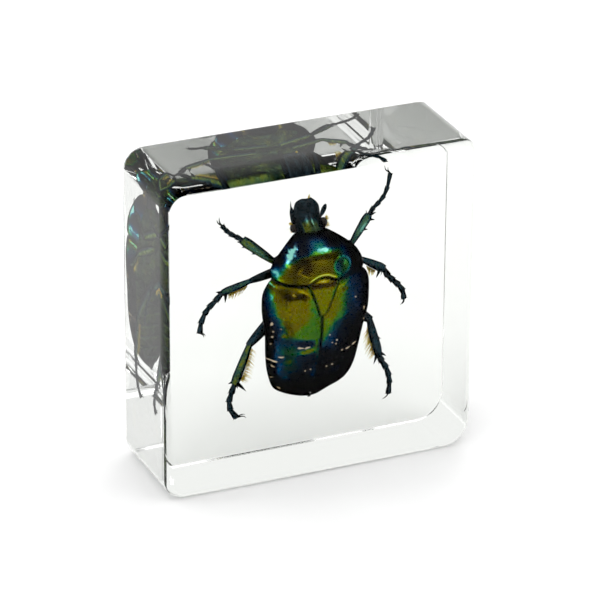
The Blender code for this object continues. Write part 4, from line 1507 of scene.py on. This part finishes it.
@dataclass
class Trunk:
    """The body under the plates: belly rings, hip plates and breast, and a dark core below the wing cases."""

    finish: Material
    form: RoundForm = field(default_factory=lambda: RoundForm((
        (8.45, -0.10, 1.25, 1.30, 1.75, 2.15), (8.9, -1.35, 2.65, 0.75, 1.60, 2.70),
        (9.6, -2.80, 4.10, -0.35, 1.42, 3.00), (10.6, -3.90, 5.25, -1.40, 1.32, 3.25),
        (12.0, -4.65, 5.88, -2.25, 1.22, 3.50), (14.0, -5.00, 6.36, -2.90, 1.16, 3.75),
        (16.5, -5.05, 6.90, -3.25, 1.12, 3.95), (18.5, -5.25, 7.42, -3.40, 1.12, 4.10),
        (20.5, -5.40, 7.64, -3.45, 1.12, 4.20), (22.3, -5.25, 7.60, -3.40, 1.12, 4.30),
        (23.7, -4.65, 7.10, -3.30, 1.12, 4.25), (25.0, -4.25, 6.60, -3.25, 1.12, 4.10),
        (26.2, -3.90, 6.10, -3.05, 1.12, 3.92), (27.4, -3.10, 5.18, -2.50, 1.14, 3.70),
        (28.4, -2.25, 3.98, -1.75, 1.20, 3.45), (29.2, -1.50, 2.75, -0.95, 1.30, 3.20),
        (29.8, -0.85, 1.90, -0.30, 1.40, 2.90))))
    seams: tuple[float, ...] = (10.1, 11.6, 13.1, 14.7, 16.3)
    reliefs: tuple[Relief, ...] = (
        Relief(-1.9, 18.3, 2.6, 0.85, 0.30, 14), Relief(4.1, 18.3, 2.6, 0.85, 0.30, -14),
        Relief(-1.0, 22.9, 1.0, 1.2, 0.28), Relief(3.3, 22.9, 1.0, 1.2, 0.28),
        Relief(0.0, 26.6, 0.9, 1.3, 0.34, 20), Relief(2.3, 26.6, 0.9, 1.3, 0.34, -20),
        Relief(1.1, 23.6, 0.5, 0.9, 0.25))

    def build(self) -> bpy.types.Object:
        """Builds the trunk.

        Formula: the round form, pressed in by a bell over the distance to each belly seam and to the breast's
        middle line, with the reliefs raised on the belly's side. The seams arch by 0.35 mm.

        Returns:
            Its object.
        """
        heights = np.linspace(8.46, 29.8, 300)
        rings = self.form.rings(heights, 96)
        x, y, z = np.moveaxis(rings, -1, 0)
        below = ease((y - 1.4) / 0.8)
        lift = np.zeros_like(x)
        tone = 0.30 + 0.12 * wobble(x, z, 3.0, 0.4)
        shade = 0.22 + 0.5 * ease((wobble(x, z, 2.2, 5.9) - 0.1) / 0.7)
        arch = 0.35 * ((x - 1.0) / 5.0) ** 2
        # Each belly seam: a groove with painted shade in it and a painted highlight line beside it.
        for seam in self.seams:
            away = z - seam + arch
            step = -0.13 * bump_of(away, 0.13) + 0.10 * np.where(away < 0, np.exp(away / 0.5), 0.0)
            lift += below * step
            tone = towards(tone, 0.95, below * bump_of(away, 0.11))
            shade += below * 0.9 * bump_of(away + 0.28, 0.10)
        middle = bump_of(x - 1.05, 0.10) * ease((z - 18.8) / 0.6) * ease((25.0 - z) / 0.6)
        aside = np.abs(x - 1.0)
        edge = bump_of(z - 19.5 - 0.10 * aside, 0.14) + bump_of(z - 17.1 - 0.16 * aside, 0.14)
        lift -= below * (0.12 * middle + 0.14 * edge)
        # Painted shade in the breast's middle groove and along the hip plates' edges.
        tone = towards(tone, 0.95, below * np.maximum(middle, np.minimum(edge, 1.0)))
        # The reliefs rise out of the belly, with a painted highlight as high as they rise.
        for relief in self.reliefs:
            lift += below * relief.at(x, z)
            shade += below * 1.2 * relief.at(x, z)
        # Near black where it lies under the plates: painted shade, which shows in the gaps between them.
        tone = np.where(y < 1.3, 0.97, tone)
        rings = pushed(rings, lift + below * 0.015 * wobble(x, z, 0.8, 2.7))
        return make_piece("trunk", Shape.tube(rings, tone, shade), self.finish)


@dataclass
class Head:
    """The head with its squarish front shield, eyes, antennae and tufts of orange hair.

    Attributes:
        finish, hair: the materials.
        form: the head's main form.
        eye_radius, eye_centres: the eyes, in mm.
        clubs: each antenna's club as (base, middle, tip, width) in mm.
        tuft_groups: tufts as (centre, spread, way, count); centre, spread and way in mm.
        tuft_seed: of the tufts' small changes.
    """

    finish: Material
    hair: Material
    form: RoundForm = field(default_factory=lambda: RoundForm((
        (28.9, -1.05, 2.15, 0.10, 1.60, 2.90), (29.8, -1.30, 2.50, 0.20, 1.62, 3.00),
        (30.5, -1.46, 2.34, 0.45, 1.62, 3.00), (31.1, -1.56, 2.08, 0.72, 1.66, 2.92),
        (31.7, -1.48, 1.82, 0.98, 1.76, 2.86), (32.3, -1.46, 1.74, 1.20, 1.86, 2.80),
        (32.9, -1.44, 1.66, 1.40, 1.95, 2.70), (33.35, -1.30, 1.40, 1.58, 2.02, 2.58),
        (33.68, -1.00, 1.06, 1.72, 2.06, 2.45), (33.88, -0.50, 0.78, 1.85, 2.08, 2.30)), 2.6))
    eye_radius: tuple[float, float, float] = (0.56, 0.62, 0.66)
    eye_centres: tuple[tuple[float, float, float], ...] = ((-1.42, 1.75, 30.42), (2.28, 1.75, 30.5))
    clubs: tuple[tuple, ...] = (
        ((-1.58, 2.0, 30.9), (-1.64, 1.98, 32.0), (-1.78, 2.0, 33.05), 0.60),
        ((2.05, 2.0, 31.25), (2.36, 2.08, 31.9), (2.76, 2.2, 32.68), 0.62))
    tuft_groups: tuple[tuple, ...] = (
        ((0.50, 2.1, 33.75), (0.10, 0.12, 0.08), (0.08, 0.0, 0.45), 16),
        ((-1.75, 1.9, 30.95), (0.12, 0.25, 0.25), (-0.22, 0.0, 0.10), 26),
        ((-1.60, 1.9, 30.2), (0.14, 0.25, 0.25), (-0.22, 0.0, -0.10), 26),
        ((2.62, 1.8, 30.9), (0.12, 0.25, 0.25), (0.25, 0.0, 0.10), 40),
        ((2.70, 1.8, 30.2), (0.12, 0.25, 0.30), (0.28, 0.0, -0.05), 30))
    tuft_seed: int = 21

    def shell(self) -> Shape:
        """The head itself: the round form with a raised rim, a front notch and two hollows by a ridge.

        Returns:
            The head.
        """
        heights = np.concatenate([np.linspace(28.9, 31.5, 50), np.linspace(31.53, 33.88, 70)])
        rings = self.form.rings(heights, 80)
        x, y, z = np.moveaxis(rings, -1, 0)
        table = np.array(self.form.rows)
        left, right = np.moveaxis(natural_spline(table[:, 0], table[:, 1:3], z), -1, 0)
        above = ease((2.0 - y) / 0.35)
        side = np.minimum(x - left, right - x)
        rim = bump_of(side - 0.12, 0.16) * ease((z - 31.5) / 0.5) + bump_of(33.68 - z, 0.16)
        middle = (left + right) / 2
        lift = above * 0.10 * np.minimum(rim, 1.0)
        lift -= above * 0.16 * bump_of(x - middle + 0.48, 0.26) * bump_of(z - 31.3, 0.9)
        lift -= above * 0.16 * bump_of(x - middle - 0.48, 0.26) * bump_of(z - 31.2, 1.0)
        lift -= above * 0.12 * bump_of(x - middle, 0.9) * bump_of(z - 32.8, 0.55)
        tone = np.interp(z, [29.5, 30.8, 31.25, 31.6, 32.2, 33.8], [0.17, 0.17, 0.36, 0.86, 0.84, 0.88])
        tone = tone + ease((x - 0.1) / 0.5) * 0.14 * ease((31.6 - z) / 0.5) + 0.06 * wobble(x, z, 1.1, 0.9)
        tone = towards(tone, 0.90, ease((np.abs(x - middle) - 0.85) / 0.35))
        tone = np.where(y > 1.9, 0.85, tone)
        # Painted highlights: two streaks at the shield's base, and the raised rim.
        streaks = bump_of(x - middle + 0.30, 0.10) * bump_of(z - 31.35, 0.40)
        streaks += bump_of(x - middle - 0.42, 0.09) * bump_of(z - 31.1, 0.55)
        shade = 0.55 + 0.5 * ease((z - 31.5) / 0.4) + above * (5.0 * streaks + 1.2 * np.minimum(rim, 1.0))
        tone = towards(tone, 0.40, np.minimum(streaks, 1.0) * above)
        rings = pushed(rings, lift + 0.008 * wobble(x, z, 0.5, 3.3))
        rings[..., 2] -= 0.16 * bump_of(x - 0.15, 0.32) * ease((z - 33.1) / 0.6)
        return Shape.tube(rings, tone, shade)

    def eyes(self) -> Shape:
        """Two beads: ellipsoids as rings of latitude round the axis that points to the side.

        Returns:
            Both eyes.
        """
        latitude = np.linspace(-math.pi / 2 + 0.08, math.pi / 2 - 0.08, 26)[:, None]
        angle = round_angles(36)[None, :]
        ball = np.stack([np.sin(latitude) + 0 * angle, np.cos(latitude) * np.cos(angle),
                         np.cos(latitude) * np.sin(angle)], -1)
        return Shape.joined([Shape.tube(np.array(centre) + ball * np.array(self.eye_radius))
                             for centre in self.eye_centres])

    def antennae(self) -> Shape:
        """Each antenna: a club of three leaves on a short jointed stalk. The left one has a spine.

        Returns:
            Both antennae.
        """
        shapes = []
        for *points, width in self.clubs:
            base, middle, tip = np.array(points)
            way = tip - base
            for leaf in (-1, 0, 1):
                aside = np.array([0.0, 0.10 * leaf, 0.0])
                route = [base + aside, middle + 1.4 * aside, tip + aside * 0.6]
                widths = width * np.array([0.25, 0.72, 0.95, 1.0, 0.86, 0.30]) * (1 - 0.08 * abs(leaf))
                shapes.append(Shape.tube(limb_rings(route, widths, np.full(6, 0.13), 26, 14, 2.0), 0.86))
            stalk = [base - way * 0.45 + [0, 0.2, 0], base - way * 0.15, base + way * 0.1]
            shapes.append(Shape.tube(limb_rings(stalk, (0.24, 0.16) * 3, np.full(6, 0.2), 24, 10, 2.0), 0.85))
        spine = spike((-1.80, 2.0, 32.7), (-1.84, 2.0, 33.9), 0.2, 0.02, 10, 8)
        return Shape.joined(shapes + [Shape.tube(spine, 0.9)])

    def tufts(self) -> Shape:
        """Short orange hairs: at the shield's front, round both eyes and on the neck's sides.

        Returns:
            The hairs.
        """
        change = np.random.default_rng(self.tuft_seed)
        shapes = []
        for centre, spread, way, count in self.tuft_groups:
            roots = np.array(centre) + change.normal(0.0, 1.0, (count, 3)) * np.array(spread) * 0.6
            tips = roots + np.array(way) * change.uniform(0.7, 1.5, (count, 1))
            tips = tips + change.normal(0.0, 0.08, (count, 3))
            bend, tone = change.normal(0.0, 0.03, count), change.uniform(0.75, 1.0, count)
            shapes.append(hairs(roots, tips, 0.075, bend, tone))
        return Shape.joined(shapes)

    def build(self) -> None:
        """Builds the head and what it carries as separate pieces."""
        make_piece("head", self.shell(), self.finish)
        make_piece("eyes", self.eyes(), EyeFinish().build())
        make_piece("antennae", self.antennae(), self.finish)
        make_piece("head_hairs", self.tufts(), self.hair)


# The cream marks, as (x, height, half length, half width, slant in degrees, tone), with lengths in mm.
MARKS = (
    (-5.08, 19.27, 0.24, 0.12, 80, 0.1), (-4.90, 18.25, 0.10, 0.09, 0, 0.2),
    (-4.95, 17.50, 0.13, 0.09, 60, 0.1), (-5.04, 16.50, 0.12, 0.06, 60, 0.4),
    (-4.15, 18.70, 0.12, 0.07, -20, 0.5), (-4.80, 14.28, 0.46, 0.11, -12, 0.0),
    (-4.02, 14.90, 0.30, 0.10, 4, 0.0), (-4.81, 13.53, 0.20, 0.09, -30, 0.2),
    (-1.85, 16.02, 0.42, 0.12, -10, 0.0), (-1.00, 15.97, 0.38, 0.11, 14, 0.0),
    (-3.87, 10.34, 0.26, 0.08, -40, 0.4), (-4.75, 11.88, 0.11, 0.07, 60, 0.5),
    (5.31, 21.49, 0.10, 0.09, 0, 0.1), (6.70, 19.58, 0.09, 0.24, 0, 0.3), (6.84, 17.95, 0.08, 0.11, 0, 0.3),
    (1.86, 17.20, 0.10, 0.10, 0, 0.2), (2.84, 16.31, 0.12, 0.10, 20, 0.0),
    (2.23, 16.10, 0.10, 0.08, 0, 0.0), (2.73, 15.82, 0.11, 0.09, 0, 0.2),
    (3.62, 14.76, 0.13, 0.08, 10, 0.0), (4.44, 14.80, 0.32, 0.09, 16, 0.0),
    (5.38, 15.12, 0.34, 0.10, 16, 0.0), (2.37, 13.05, 0.10, 0.08, 0, 0.0),
    (1.64, 12.92, 0.09, 0.08, 0, 0.1), (-0.43, 12.85, 0.09, 0.08, 0, 0.0),
    (-1.12, 12.75, 0.09, 0.08, 0, 0.1),
)


BETWEEN_CASES = 0.8    # marks with a smaller x lie on the left wing case


def scale_marks(cases: tuple[WingCase, ...]) -> Shape:
    """The cream marks: each is a thin lens with an uneven outline that lies on its wing case.

    Formula: polar grid over the mark; radius 1 + 0.22 sin(3a + k) + 0.12 sin(5a + 2k), height
    0.06 * sqrt(1 - r^2) - 0.01 mm over the wing case, closed underneath.

    Args:
        cases: the left and the right wing case.

    Returns:
        All the marks as one shape.
    """
    radius, angle = np.meshgrid(np.linspace(1.0, 0.04, 8), round_angles(28), indexing="ij")
    shapes = []
    for number, (x, z, long, wide, slant, tone) in enumerate(MARKS):
        case = cases[0] if x < BETWEEN_CASES else cases[1]
        edge = 1 + 0.22 * np.sin(3 * angle + number) + 0.12 * np.sin(5 * angle + 2 * number)
        turn = math.radians(slant)
        u, v = long * radius * edge * np.cos(angle), wide * radius * edge * np.sin(angle)
        across = x + u * math.cos(turn) - v * math.sin(turn)
        height = z + u * math.sin(turn) + v * math.cos(turn)
        place = WING_FORM.angle_at(across, height)
        base = case.lift(place, height)
        top = WING_FORM.lifted(place, height, base + 0.06 * np.sqrt(np.maximum(1 - radius**2, 0)) - 0.01)
        under = WING_FORM.lifted(place, height, base - 0.08)
        shapes.append(Shape.tube(np.concatenate([under[::-1], top]), tone + 0.15 * np.tile(radius, (2, 1))))
    return Shape.joined(shapes)


# The six legs, as the fields of Leg. Each one's number is the seed of its hairs.
LEGS = (
    Leg("front_left", (0.3, 4.1, 26.7), (-3.75, 3.1, 26.12), (-7.6, 3.6, 29.44), 1.25, 1.24,
        ((-8.35, 3.9, 29.9), (-9.05, 4.15, 30.35), (-9.55, 4.4, 30.85), (-9.95, 4.7, 31.4)),
        ((-10.6, 4.8, 32.25), (-10.25, 4.85, 32.5)),
        ((-8.35, 3.6, 29.3), (-7.75, 3.6, 28.45), (-6.55, 3.4, 27.45)), (), (0.88, 0.16, 0.32, 0.82),
        foot_width=0.68, lit=(-0.15, -0.95, -0.15), glints=((0.55, 0.30, 0.35, 1.6),)),
    Leg("front_right", (1.8, 4.1, 26.4), (6.45, 3.1, 26.75), (8.72, 3.5, 29.95), 1.25, 1.20,
        ((9.45, 3.9, 30.65), (10.25, 4.1, 31.2), (10.92, 4.3, 31.85), (11.46, 4.6, 32.85),
         (11.85, 4.85, 34.45)),
        ((11.15, 5.0, 35.6), (11.6, 5.0, 35.3)),
        ((9.7, 3.5, 30.1), (9.55, 3.5, 29.15), (8.6, 3.3, 28.1)), ((8.33, 3.4, 30.65),),
        (0.88, 0.50, 0.33, 0.80), foot_width=0.68, lit=(-0.2, -0.95, 0.1),
        glints=((0.60, -0.15, 0.22, 3.6), (0.55, 0.50, 0.25, 1.2))),
    Leg("middle_left", (-1.2, 4.2, 24.85), (-6.55, 3.2, 24.10), (-10.2, 3.7, 22.98), 1.20, 0.96,
        ((-10.95, 4.05, 22.0), (-11.75, 4.3, 21.2), (-12.25, 4.5, 20.4), (-12.7, 4.7, 19.2),
         (-12.82, 4.8, 17.95)),
        ((-12.1, 4.8, 17.35), (-12.25, 5.0, 17.15)),
        ((-11.05, 3.7, 23.25), (-9.75, 4.0, 21.5)), (), (0.84, 0.58, 0.42, 0.72),
        Fringe(((-7.0, 3.4, 23.5), (-7.85, 3.4, 23.25), (-8.75, 3.4, 22.95), (-9.5, 3.4, 22.7)),
               ((-7.35, 3.6, 22.80), (-8.15, 3.6, 22.25), (-8.9, 3.6, 22.0), (-9.5, 3.6, 22.2)),
               20, under_count=44)),
    Leg("middle_right", (3.4, 4.2, 24.6), (7.95, 3.1, 24.28), (10.85, 3.7, 22.45), 1.20, 1.14,
        ((11.55, 4.1, 21.3), (12.3, 4.3, 20.5), (13.1, 4.5, 19.7), (13.75, 4.7, 18.75), (13.95, 4.85, 17.65)),
        ((13.45, 4.8, 16.85), (13.8, 5.0, 16.85)),
        ((11.25, 3.7, 22.75), (9.95, 4.0, 21.25), (11.22, 3.7, 22.24)), ((10.52, 3.9, 21.46),),
        (0.80, 0.66, 0.50, 0.78),
        Fringe(((8.45, 3.3, 23.30), (9.07, 3.3, 22.90), (9.6, 3.3, 22.5)),
               ((8.65, 3.6, 22.35), (9.11, 3.6, 21.75), (9.6, 3.6, 21.9)), 12, under_count=40)),
    Leg("hind_left", (-1.6, 4.2, 20.2), (-6.80, 3.1, 15.8), (-8.65, 3.6, 10.7), 1.60, 1.20,
        ((-8.95, 4.0, 9.4), (-9.20, 4.3, 8.25), (-8.95, 4.6, 7.0), (-8.15, 4.8, 5.8)),
        ((-6.95, 4.9, 5.9), (-6.8, 4.9, 5.45)),
        ((-7.0, 4.1, 9.25), (-9.5, 3.6, 10.85), (-8.19, 3.8, 9.91)), (), (0.64, 0.33, 0.28, 0.76),
        Fringe(((-6.60, 3.4, 15.2), (-6.88, 3.4, 14.0), (-7.2, 3.4, 12.86), (-7.6, 3.4, 11.7),
                (-7.95, 3.4, 11.1)),
               ((-5.90, 3.5, 14.6), (-6.05, 3.5, 13.2), (-6.25, 3.5, 12.0), (-6.6, 3.5, 11.1),
                (-7.1, 3.5, 10.3)),
               20, under_count=56),
        lit=(-0.35, -0.9, 0.1)),
    Leg("hind_right", (3.8, 4.2, 20.0), (8.88, 3.1, 16.25), (10.25, 3.6, 11.2), 1.60, 1.24,
        ((10.9, 4.05, 9.95), (11.55, 4.25, 8.9), (12.0, 4.5, 7.65), (12.15, 4.65, 6.6), (12.05, 4.8, 5.20)),
        ((11.25, 4.9, 4.5), (11.5, 5.0, 4.6)),
        ((9.8, 4.05, 9.7), (11.35, 3.6, 10.7), (10.55, 3.4, 13.22)), (), (0.84, 0.76, 0.44, 0.76),
        Fringe(((8.78, 3.3, 15.3), (9.0, 3.3, 14.16), (9.3, 3.3, 12.77), (9.66, 3.3, 11.3)),
               ((8.30, 3.5, 14.3), (8.30, 3.5, 12.85), (8.55, 3.5, 11.5), (9.3, 3.5, 10.4)),
               22, under_count=40),
        lit=(0.5, -0.85, 0.1)),
)


# ---------------------------------------------------------------- studio
@dataclass
class Studio:
    """The plain pale table, the soft lights and the camera.

    Attributes:
        yaw, pitch, roll: the camera's direction in degrees.
        focal: focal length in picture points of a 600-point picture.
        distance: from the block's middle, in block widths.
        shift: how far the picture's middle lies from the block's, sideways and up, in block widths.
        width, height: the block's, in metres.
        sensor: the sensor's width in mm.
        black_level: what the picture shows as black.
        table_z, table_half: the table's height and half size in metres.
        table_steps: the table's corners along a side.
        table_tones: the laminate's tones as (share of its grain, colour).
        sky_levels: the room's brightness as (sine of the elevation, brightness).
    """

    yaw: float = 23.87
    pitch: float = 25.19
    roll: float = 0.46
    focal: float = 4130.0
    distance: float = 12.38
    shift: tuple[float, float] = (-0.0046, 0.0066)
    width: float = 0.040
    height: float = 0.0404
    sensor: float = 36.0
    black_level: float = 0.009
    table_z: float = -0.00004      # just under the block, so that light leaves its base before the table
    table_half: float = 1.5
    table_steps: int = 9
    table_tones: tuple[tuple[float, str], ...] = ((0.3, "f6f6f6"), (0.7, "fafafa"))
    sky_levels: tuple[tuple[float, float], ...] = ((0.0, 1.0), (0.77, 1.0), (0.92, 0.35), (1.0, 0.2))

    def camera(self) -> None:
        """Places the camera, which looks at the block's middle from the photograph's angle."""
        yaw, pitch, roll = (math.radians(v) for v in (self.yaw, self.pitch, self.roll))
        back = Vector((-math.sin(yaw) * math.cos(pitch), -math.cos(yaw) * math.cos(pitch), math.sin(pitch)))
        level = (-back).cross(Vector((0.0, 0.0, 1.0))).normalized()
        upright = level.cross(-back)
        right = math.cos(roll) * level + math.sin(roll) * upright
        up = -math.sin(roll) * level + math.cos(roll) * upright
        data = bpy.data.cameras.new("camera")
        data.sensor_width, data.lens = self.sensor, self.focal * self.sensor / 600
        data.clip_start, data.clip_end = 0.01, 50.0
        camera = bpy.data.objects.new("camera", data)
        bpy.context.scene.collection.objects.link(camera)
        turned = Matrix((right, up, back)).transposed().to_4x4()
        turned.translation = (Vector((0.0, 0.0, self.height / 2)) + back * self.distance * self.width
                              - right * self.shift[0] * self.width - up * self.shift[1] * self.width)
        camera.matrix_world = turned
        bpy.context.scene.camera = camera

    def floor(self) -> None:
        """The table: a large sheet of white laminate with a very faint grain in its tone."""
        made, tree = new_material("white_laminate_table")
        place = add_node(tree, "TexCoord").outputs["Object"]
        grain = add_node(tree, "TexNoise", {"Scale": 0.06 / MM, "Detail": 2.0}, {"Vector": place})
        colour = add_node(tree, "ValToRGB", {"stops": self.table_tones}, {"Fac": grain.outputs["Fac"]})
        shader = add_node(tree, "BsdfPrincipled", {"Roughness": 0.6, "Specular IOR Level": 0.2},
                          {"Base Color": colour.outputs["Color"]})
        add_node(tree, "OutputMaterial", links={"Surface": shader.outputs["BSDF"]})
        steps = np.linspace(-self.table_half, self.table_half, self.table_steps)
        x, y = np.meshgrid(steps, steps)
        grid = np.stack([x, y, np.full_like(x, self.table_z)], -1)
        cells = cells_of(np.arange(x.size).reshape(x.shape))[:, [0, 3, 2, 1]]
        mesh = bpy.data.meshes.new("table")
        mesh.from_pydata(grid.reshape(-1, 3).tolist(), [], cells.tolist())
        mesh.materials.append(made)
        table = bpy.data.objects.new("table", mesh)
        bpy.context.scene.collection.objects.link(table)

    def sky(self) -> None:
        """The room: white up to 50 degrees above the horizon, and dimmer overhead, where the lamps hang."""
        world = bpy.data.worlds.new("studio")
        bpy.context.scene.world = world
        world.use_nodes = True
        tree = world.node_tree
        tree.nodes.clear()
        way = add_node(tree, "TexCoord").outputs["Generated"]
        up = add_node(tree, "SeparateXYZ", links={"Vector": way}).outputs["Z"]
        level = add_node(tree, "ValToRGB", {"stops": self.sky_levels}, {"Fac": up}).outputs["Color"]
        shader = add_node(tree, "Background", {"Strength": 1.05}, {"Color": level})
        add_node(tree, "OutputWorld", links={"Surface": shader.outputs["Background"]})

    def lamp(self, name: str, azimuth: float, elevation: float, size: tuple[float, float], radiance: float,
             distance: float = 0.9, seen: bool = True) -> None:
        """A soft box that looks at the block.

        Args:
            name: the lamp's name.
            azimuth: degrees from the front (-Y) towards the right.
            elevation: degrees above the table.
            size: width and height in metres.
            radiance: brightness of its face, where the white room is 1.
            distance: from the block's middle in metres.
            seen: whether a surface in the open mirrors it.
        """
        a, e = math.radians(azimuth), math.radians(elevation)
        way = Vector((math.sin(a) * math.cos(e), -math.cos(a) * math.cos(e), math.sin(e)))
        data = bpy.data.lights.new(name, "AREA")
        data.shape, data.size, data.size_y = "RECTANGLE", *size
        data.energy = radiance * math.pi * size[0] * size[1]
        lamp = bpy.data.objects.new(name, data)
        bpy.context.scene.collection.objects.link(lamp)
        lamp.location = Vector((0.0, 0.0, self.height / 2)) + way * distance
        lamp.rotation_mode = "QUATERNION"
        lamp.rotation_quaternion = way.to_track_quat("Z", "Y")
        lamp.visible_camera = False
        lamp.visible_glossy = seen

    def build(self) -> None:
        """Builds the studio, with the path lengths that clear resin needs and the plain view of colours."""
        scene = bpy.context.scene
        scene.view_settings.view_transform = "Standard"
        scene.view_settings.use_curve_mapping = True
        scene.view_settings.curve_mapping.black_level = (self.black_level,) * 3
        scene.cycles.use_denoising = True
        scene.cycles.max_bounces, scene.cycles.transmission_bounces, scene.cycles.glossy_bounces = 24, 24, 8
        self.camera()
        self.floor()
        self.sky()
        self.lamp("overhead", 0, 89, (0.9, 0.9), 1.8, seen=False)
        self.lamp("back_right_box", 140, 31, (0.16, 0.13), 5.0)
        self.lamp("left_box", -111, 37, (0.22, 0.16), 5.0)
        LOG.info("studio ready")


def main() -> None:
    """Builds the block, the beetle and the studio in order."""
    logging.basicConfig(level=logging.INFO, format="%(message)s")
    ResinBlock().build()
    back = CuticleFinish("wing_case_chitin", BACK_STOPS, roughness=0.20, tone_spread=0.07, mottle_per_mm=1.3,
                         puncture_depth_mm=0.004).build()
    shield = CuticleFinish("pronotum_chitin", BACK_STOPS, roughness=0.12, rough_spread=0.08,
                           puncture_depth_mm=0.003, wave_depth_mm=0.012).build()
    limb = CuticleFinish("leg_chitin", LIMB_STOPS, roughness=0.22, rough_spread=0.15,
                         tone_spread=0.10).build()
    hair = HairFinish().build()
    cases = (WingCase(Side.LEFT, back, patches=LEFT_PATCHES),
             WingCase(Side.RIGHT, back, patches=RIGHT_PATCHES))
    for case in cases:
        case.build()
    make_piece("scale_marks", scale_marks(cases), ScaleFinish().build())
    Pronotum(shield, patches=SHIELD_PATCHES).build()
    Scutellum(back).build()
    Trunk(limb).build()
    Head(limb, hair).build()
    for seed, leg in enumerate(LEGS):
        leg.build(limb, hair, seed)
    Studio().build()


if __name__ == "__main__":
    main()
